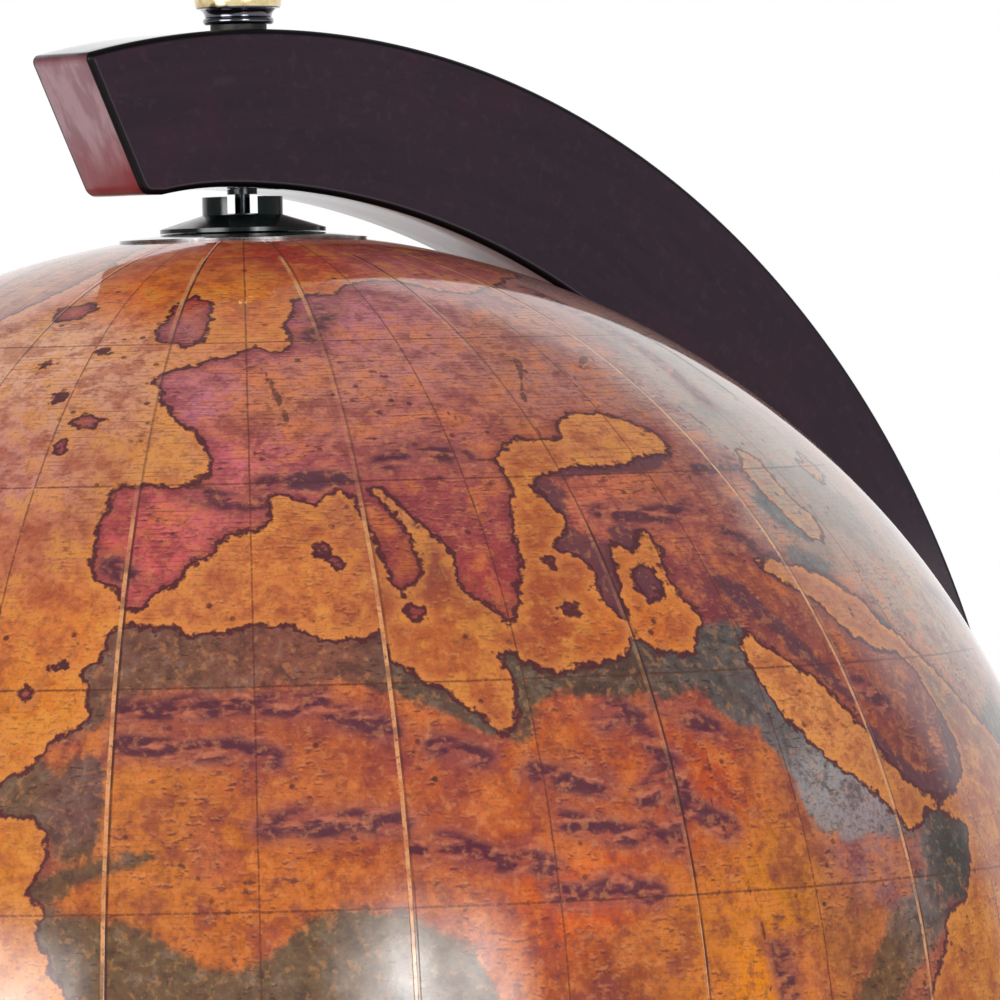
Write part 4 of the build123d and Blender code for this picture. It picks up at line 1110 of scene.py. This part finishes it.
finishes = {
    "arm": arm_material(),
    "pedestal": stained_wood("pedestal_wood", "z").material,
    "base_cap": stained_wood("cap_wood", "x").material,
    "plinth": stained_wood("plinth_wood", "x").material,
    "finial": brass("finial_brass", foot=490.7),
    "collar": brass("collar_brass"),
    "finial_washer": matt("black_fibre", rgb(30, 24, 22), rgb(16, 13, 12), 0.5),
    # Painted shade: the upper pin's steel is coloured near-black, as it stands in shade between the arm and
    # the bush
    "upper_pivot": steel("pin_steel", rgb(40, 44, 46), rgb(22, 24, 26)),
    "lower_pivot": steel("pin_steel_lower"),
    "base_bolt": steel("bolt_steel"),
    "base_washer": steel("washer_steel"),
    "arm_insert": brass("insert_brass"),
    "thrust_washer": matt("nylon", rgb(226, 222, 210), rgb(206, 200, 186), 0.4, 3.0, 0.01),
    "locating_dowels": matt("beech", rgb(204, 168, 124), rgb(178, 138, 96), 0.6, 1.5, 0.05),
    "joining_ring": matt("grey_board", rgb(150, 146, 138), rgb(120, 116, 108), 0.8, 1.5, 0.05),
    "north_bush": matt("dark_plastic", rgb(14, 26, 27), rgb(6, 12, 14), 0.12, 4.0, 0.004, 0.3),
    "south_bush": matt("dark_plastic_lower", rgb(14, 26, 27), rgb(6, 12, 14), 0.12, 4.0, 0.004, 0.3),
    "north_disc": dark_metal("dark_disc"),
    "south_disc": dark_metal("dark_disc_lower"),
    "north_nut": steel("nut_steel"),
    "south_nut": steel("nut_steel_lower"),
    "felt_pad": matt("felt", rgb(44, 62, 48), rgb(26, 40, 30), 0.9, 1.2, 0.2),
    "equator_tape": scale_material(),
    "north_hemisphere": skin,
    "south_hemisphere": skin,
}
for node, material in finishes.items():
    slots = nodes[node].data.materials
    slots.clear()
    slots.append(material)

added("arm_board", arm_mesh(), "stand", finishes["arm"], ["arm"])


# ---------------------------------------------------------------- turned pieces of the base
# Half sections as (radius, height) in millimetres, from the bolt's hole outwards and up, back to the hole.

def bulge(start, end, rise, count=12):
    """Points along an arc that swells to the right of its chord, or to the left for a rise below zero."""
    run, up = end[0] - start[0], end[1] - start[1]
    chord = math.hypot(run, up)
    along, out = (run / chord, up / chord), (up / chord, -run / chord)
    radius = (chord * chord / 4 + rise * rise) / (2 * abs(rise))
    half = math.asin(min(1.0, chord / 2 / radius))
    side = math.copysign(1.0, rise)
    points = []
    for i in range(count + 1):
        turn = half * (2 * i / count - 1)
        shift = side * radius * (math.cos(turn) - 1) + rise
        reach = radius * math.sin(turn)
        points.append((
            (start[0] + end[0]) / 2 + out[0] * shift + along[0] * reach,
            (start[1] + end[1]) / 2 + out[1] * shift + along[1] * reach,
        ))
    return points


def eased(points, radius=0.35, sharp=25.0):
    """A closed section with its sharp corners eased."""
    result = []
    for before, corner, after in zip([points[-1]] + points[:-1], points, points[1:] + [points[0]]):
        turn = (Vector(corner) - Vector(before)).angle(Vector(after) - Vector(corner))
        reach = radius * math.tan(turn / 2)
        room = 0.45 * min(math.dist(before, corner), math.dist(corner, after))
        if turn > math.radians(sharp) and room > 0.05:
            result += rounded(before, corner, after, radius * min(1.0, room / reach), 3)
        else:
            result.append(corner)
    return result


def turned(name, low, section, steps=240):
    """A closed section turned round the polar axis, with its foot at a height."""
    section = np.array(section)
    turn = np.arange(steps) * (2 * math.pi / steps)
    rings = np.stack([
        section[None, :, 0] * np.cos(turn)[:, None],
        section[None, :, 0] * np.sin(turn)[:, None],
        np.broadcast_to(section[None, :, 1] + low, (steps, len(section))),
    ], -1).reshape(-1, 3) * mm
    count = len(section)
    ring, spot = np.meshgrid(np.arange(steps), np.arange(count), indexing="ij")
    next_ring, next_spot = (ring + 1) % steps, (spot + 1) % count
    faces = np.stack([
        ring * count + spot, next_ring * count + spot, next_ring * count + next_spot, ring * count + next_spot
    ], -1).reshape(-1, 4)
    mesh = smooth_mesh(name, rings, faces.tolist())
    mesh.set_sharp_from_angle(angle=math.radians(32))
    mesh.validate()
    mesh.update()
    return mesh


hole = 4.25                 # radius of the bolt's hole
seat_half, arm_half_width = 20.0, 9.5
collar_top = math.hypot(seat_half, arm_half_width) + 0.8
collar_rim = collar_top + 1.7
crown = collar_rim - 0.8
plinth_section = eased([
    (hole, 10.0), (14.0, 10.0), (14.0, 0.0),
    (114.2, 0.0), (115.0, 0.8), (115.0, 4.2), (114.2, 5.0), (112.2, 5.0),
    *bulge((112.2, 5.0), (103.2, 11.25), 1.6)[1:],
    *bulge((103.2, 11.25), (94.2, 17.5), -1.6)[1:],
    *bulge((92.2, 17.5), (92.2, 21.0), 1.75),
    (hole, 21.0),
])
cap_section = eased([
    (hole, 0.0),
    *bulge((71.2, 0.0), (71.2, 5.6), 2.8),
    *bulge((69.7, 5.6), (62.7, 11.0), -1.6),
    (hole, 11.0),
])
pedestal_section = eased([
    (hole, 0.0),
    *bulge((37.0, 0.0), (37.0, 6.0), 3.0),
    *bulge((33.0, 6.0), (18.5, 21.0), -4.5),
    *bulge((18.5, 21.0), (crown, 34.0), -0.9)[1:],
    *bulge((crown, 34.0), (crown, 38.0), 1.2)[1:],
    (hole, 38.0),
])
collar_section = eased([
    (hole, 0.0),
    *bulge((collar_rim, 0.0), (collar_rim, 2.6), 1.3),
    *bulge((collar_rim, 2.6), (collar_top, 5.0), -0.6)[1:],
    (hole, 5.0),
])
felt_section = [
    (0.01, 0.0), *[(114.0 * share, 0.0) for share in (0.3, 0.6, 0.8, 0.9)],
    (108.2, 0.05), (108.8, 0.3), (109.0, 0.7), (108.9, 1.3), (108.5, 1.8), (107.5, 2.0), (0.01, 2.0),
]
for node, low, section, slot in [
    ("plinth", 2.0, plinth_section, "stained_wood"),
    ("base_cap", 23.0, cap_section, "stained_wood"),
    ("pedestal", 34.0, pedestal_section, "stained_wood"),
    ("collar", 72.0, collar_section, "polished_brass"),
    ("felt_pad", 0.0, felt_section, "felt"),
]:
    added(node + "_turned", turned(node + "_turned", low, section), "stand", finishes[node], [node])


# ---------------------------------------------------------------- floor, surroundings and light

def sheet(name, wide, high, material):
    """A flat rectangle; wide and high are halves."""
    mesh = bpy.data.meshes.new(name)
    corners = [(-wide, -high, 0), (wide, -high, 0), (wide, high, 0), (-wide, high, 0)]
    mesh.from_pydata(corners, [], [(0, 1, 2, 3)])
    mesh.materials.append(material)
    piece = bpy.data.objects.new(name, mesh)
    bpy.context.scene.collection.objects.link(piece)
    return piece


def floor():
    """A plain pale floor; far from the object it is as white as the surroundings."""
    size, near, white_from = 12.0, 350.0, 1100.0
    g = Graph("floor")
    g.set(Base_Color=rgb(240, 240, 240), Roughness=0.7, Specular_IOR_Level=0.2)
    x, y, z = g.parts(g.place())
    gap = g.math("SQRT", x * x + y * y)
    far = g.ramp(gap, near, white_from)
    seen = g.ray("Camera") + g.ray("Glossy")
    glow = g.node("ShaderNodeEmission", inputs={"Color": white})
    plain = Field(g, g.shader.outputs[0])
    blend = g.node("ShaderNodeMixShader", inputs={0: far * g.math("MINIMUM", seen, 1.0), 1: plain, 2: glow})
    g.feed(g.tree.nodes["Material Output"].inputs[0], blend)
    piece = sheet("floor", size, size, g.material)


def surroundings():
    """White all round; polished surfaces see it bright behind the object and dim elsewhere."""
    world = bpy.data.worlds.new("room")
    bpy.context.scene.world = world
    world.use_nodes = True
    world.node_tree.nodes.clear()
    g = Graph("room", world.node_tree)
    camera_ray, glossy_ray = g.ray("Camera"), g.ray("Glossy")
    way = g.node("ShaderNodeTexCoord", output="Generated")
    ahead, side = g.dot(way, -towards), g.dot(way, across)
    rise = g.math("ARCSINE", g.parts(way)[2])
    turn = abs(g.math("ARCTAN2", side, ahead))
    backdrop = g.ramp(rise, math.radians(41), math.radians(35))
    backdrop = backdrop * g.ramp(turn, math.radians(60), math.radians(52))
    polished = backdrop * 0.8 + 0.28
    strength = camera_ray + (1.0 - camera_ray) * (glossy_ray * polished + (1.0 - glossy_ray) * 0.5)
    glow = g.node("ShaderNodeBackground", inputs={"Strength": strength, "Color": white})
    output = g.tree.nodes.new("ShaderNodeOutputWorld")
    g.feed(output.inputs[0], glow)


def lamp(name, right, front, up, size, power):
    """A large soft lamp that faces the ball; its own image doesn't show in polished surfaces."""
    light = bpy.data.lights.new(name, "AREA")
    light.size = size
    light.energy = power
    box = bpy.data.objects.new(name, light)
    box.location = centre + across * right + towards * front + Vector((0, 0, up))
    box.rotation_euler = (centre - box.location).to_track_quat("-Z", "Y").to_euler()
    box.visible_glossy = False
    bpy.context.scene.collection.objects.link(box)


def softbox(name, right, front, up, half, flat, strength, core=0.0):
    """A glowing oval panel that only polished surfaces show: full strength in its flat share, then fading."""
    wide, high = half
    core_side, core_half = 120.0, 150.0
    g = Graph(name)
    place = g.place()
    x, y, z = g.parts(place)
    across_panel = g.ramp(abs(x), wide / mm, wide * flat / mm)
    fading = g.math("POWER", g.ramp(abs(y), high / mm, high * 0.3 / mm), 2.2)
    bright = g.ramp(abs(x - core_side), core_half, 0.0) * core
    patches = g.ramp(g.noise(place, 160.0, 3, 0.6), 0.3, 0.7) * 0.5 + 0.75
    shown = (across_panel + bright) * fading * patches * strength
    glow = g.node("ShaderNodeEmission", inputs={"Strength": shown})
    g.feed(g.tree.nodes["Material Output"].inputs[0], glow)
    panel = sheet(name, wide, high, g.material)
    panel.location = centre + across * right + towards * front + Vector((0, 0, up))
    panel.rotation_euler = (centre - panel.location).to_track_quat("Z", "Y").to_euler()
    for ray in ("camera", "diffuse", "shadow", "transmission", "volume_scatter"):
        setattr(panel, "visible_" + ray, False)


floor()
surroundings()
lamp("lamp_left", -1.3, 1.6, 1.2, 1.4, 13)
lamp("lamp_right", 1.2, 1.7, 0.5, 1.4, 10)
softbox("softbox_right", 0.81, 1.91, 0.15, (0.6, 1.12), 0.33, 9.0, 1.05)
softbox("softbox_left", -1.45, 1.55, 0.15, (0.92, 1.0), 0.43, 12.0)
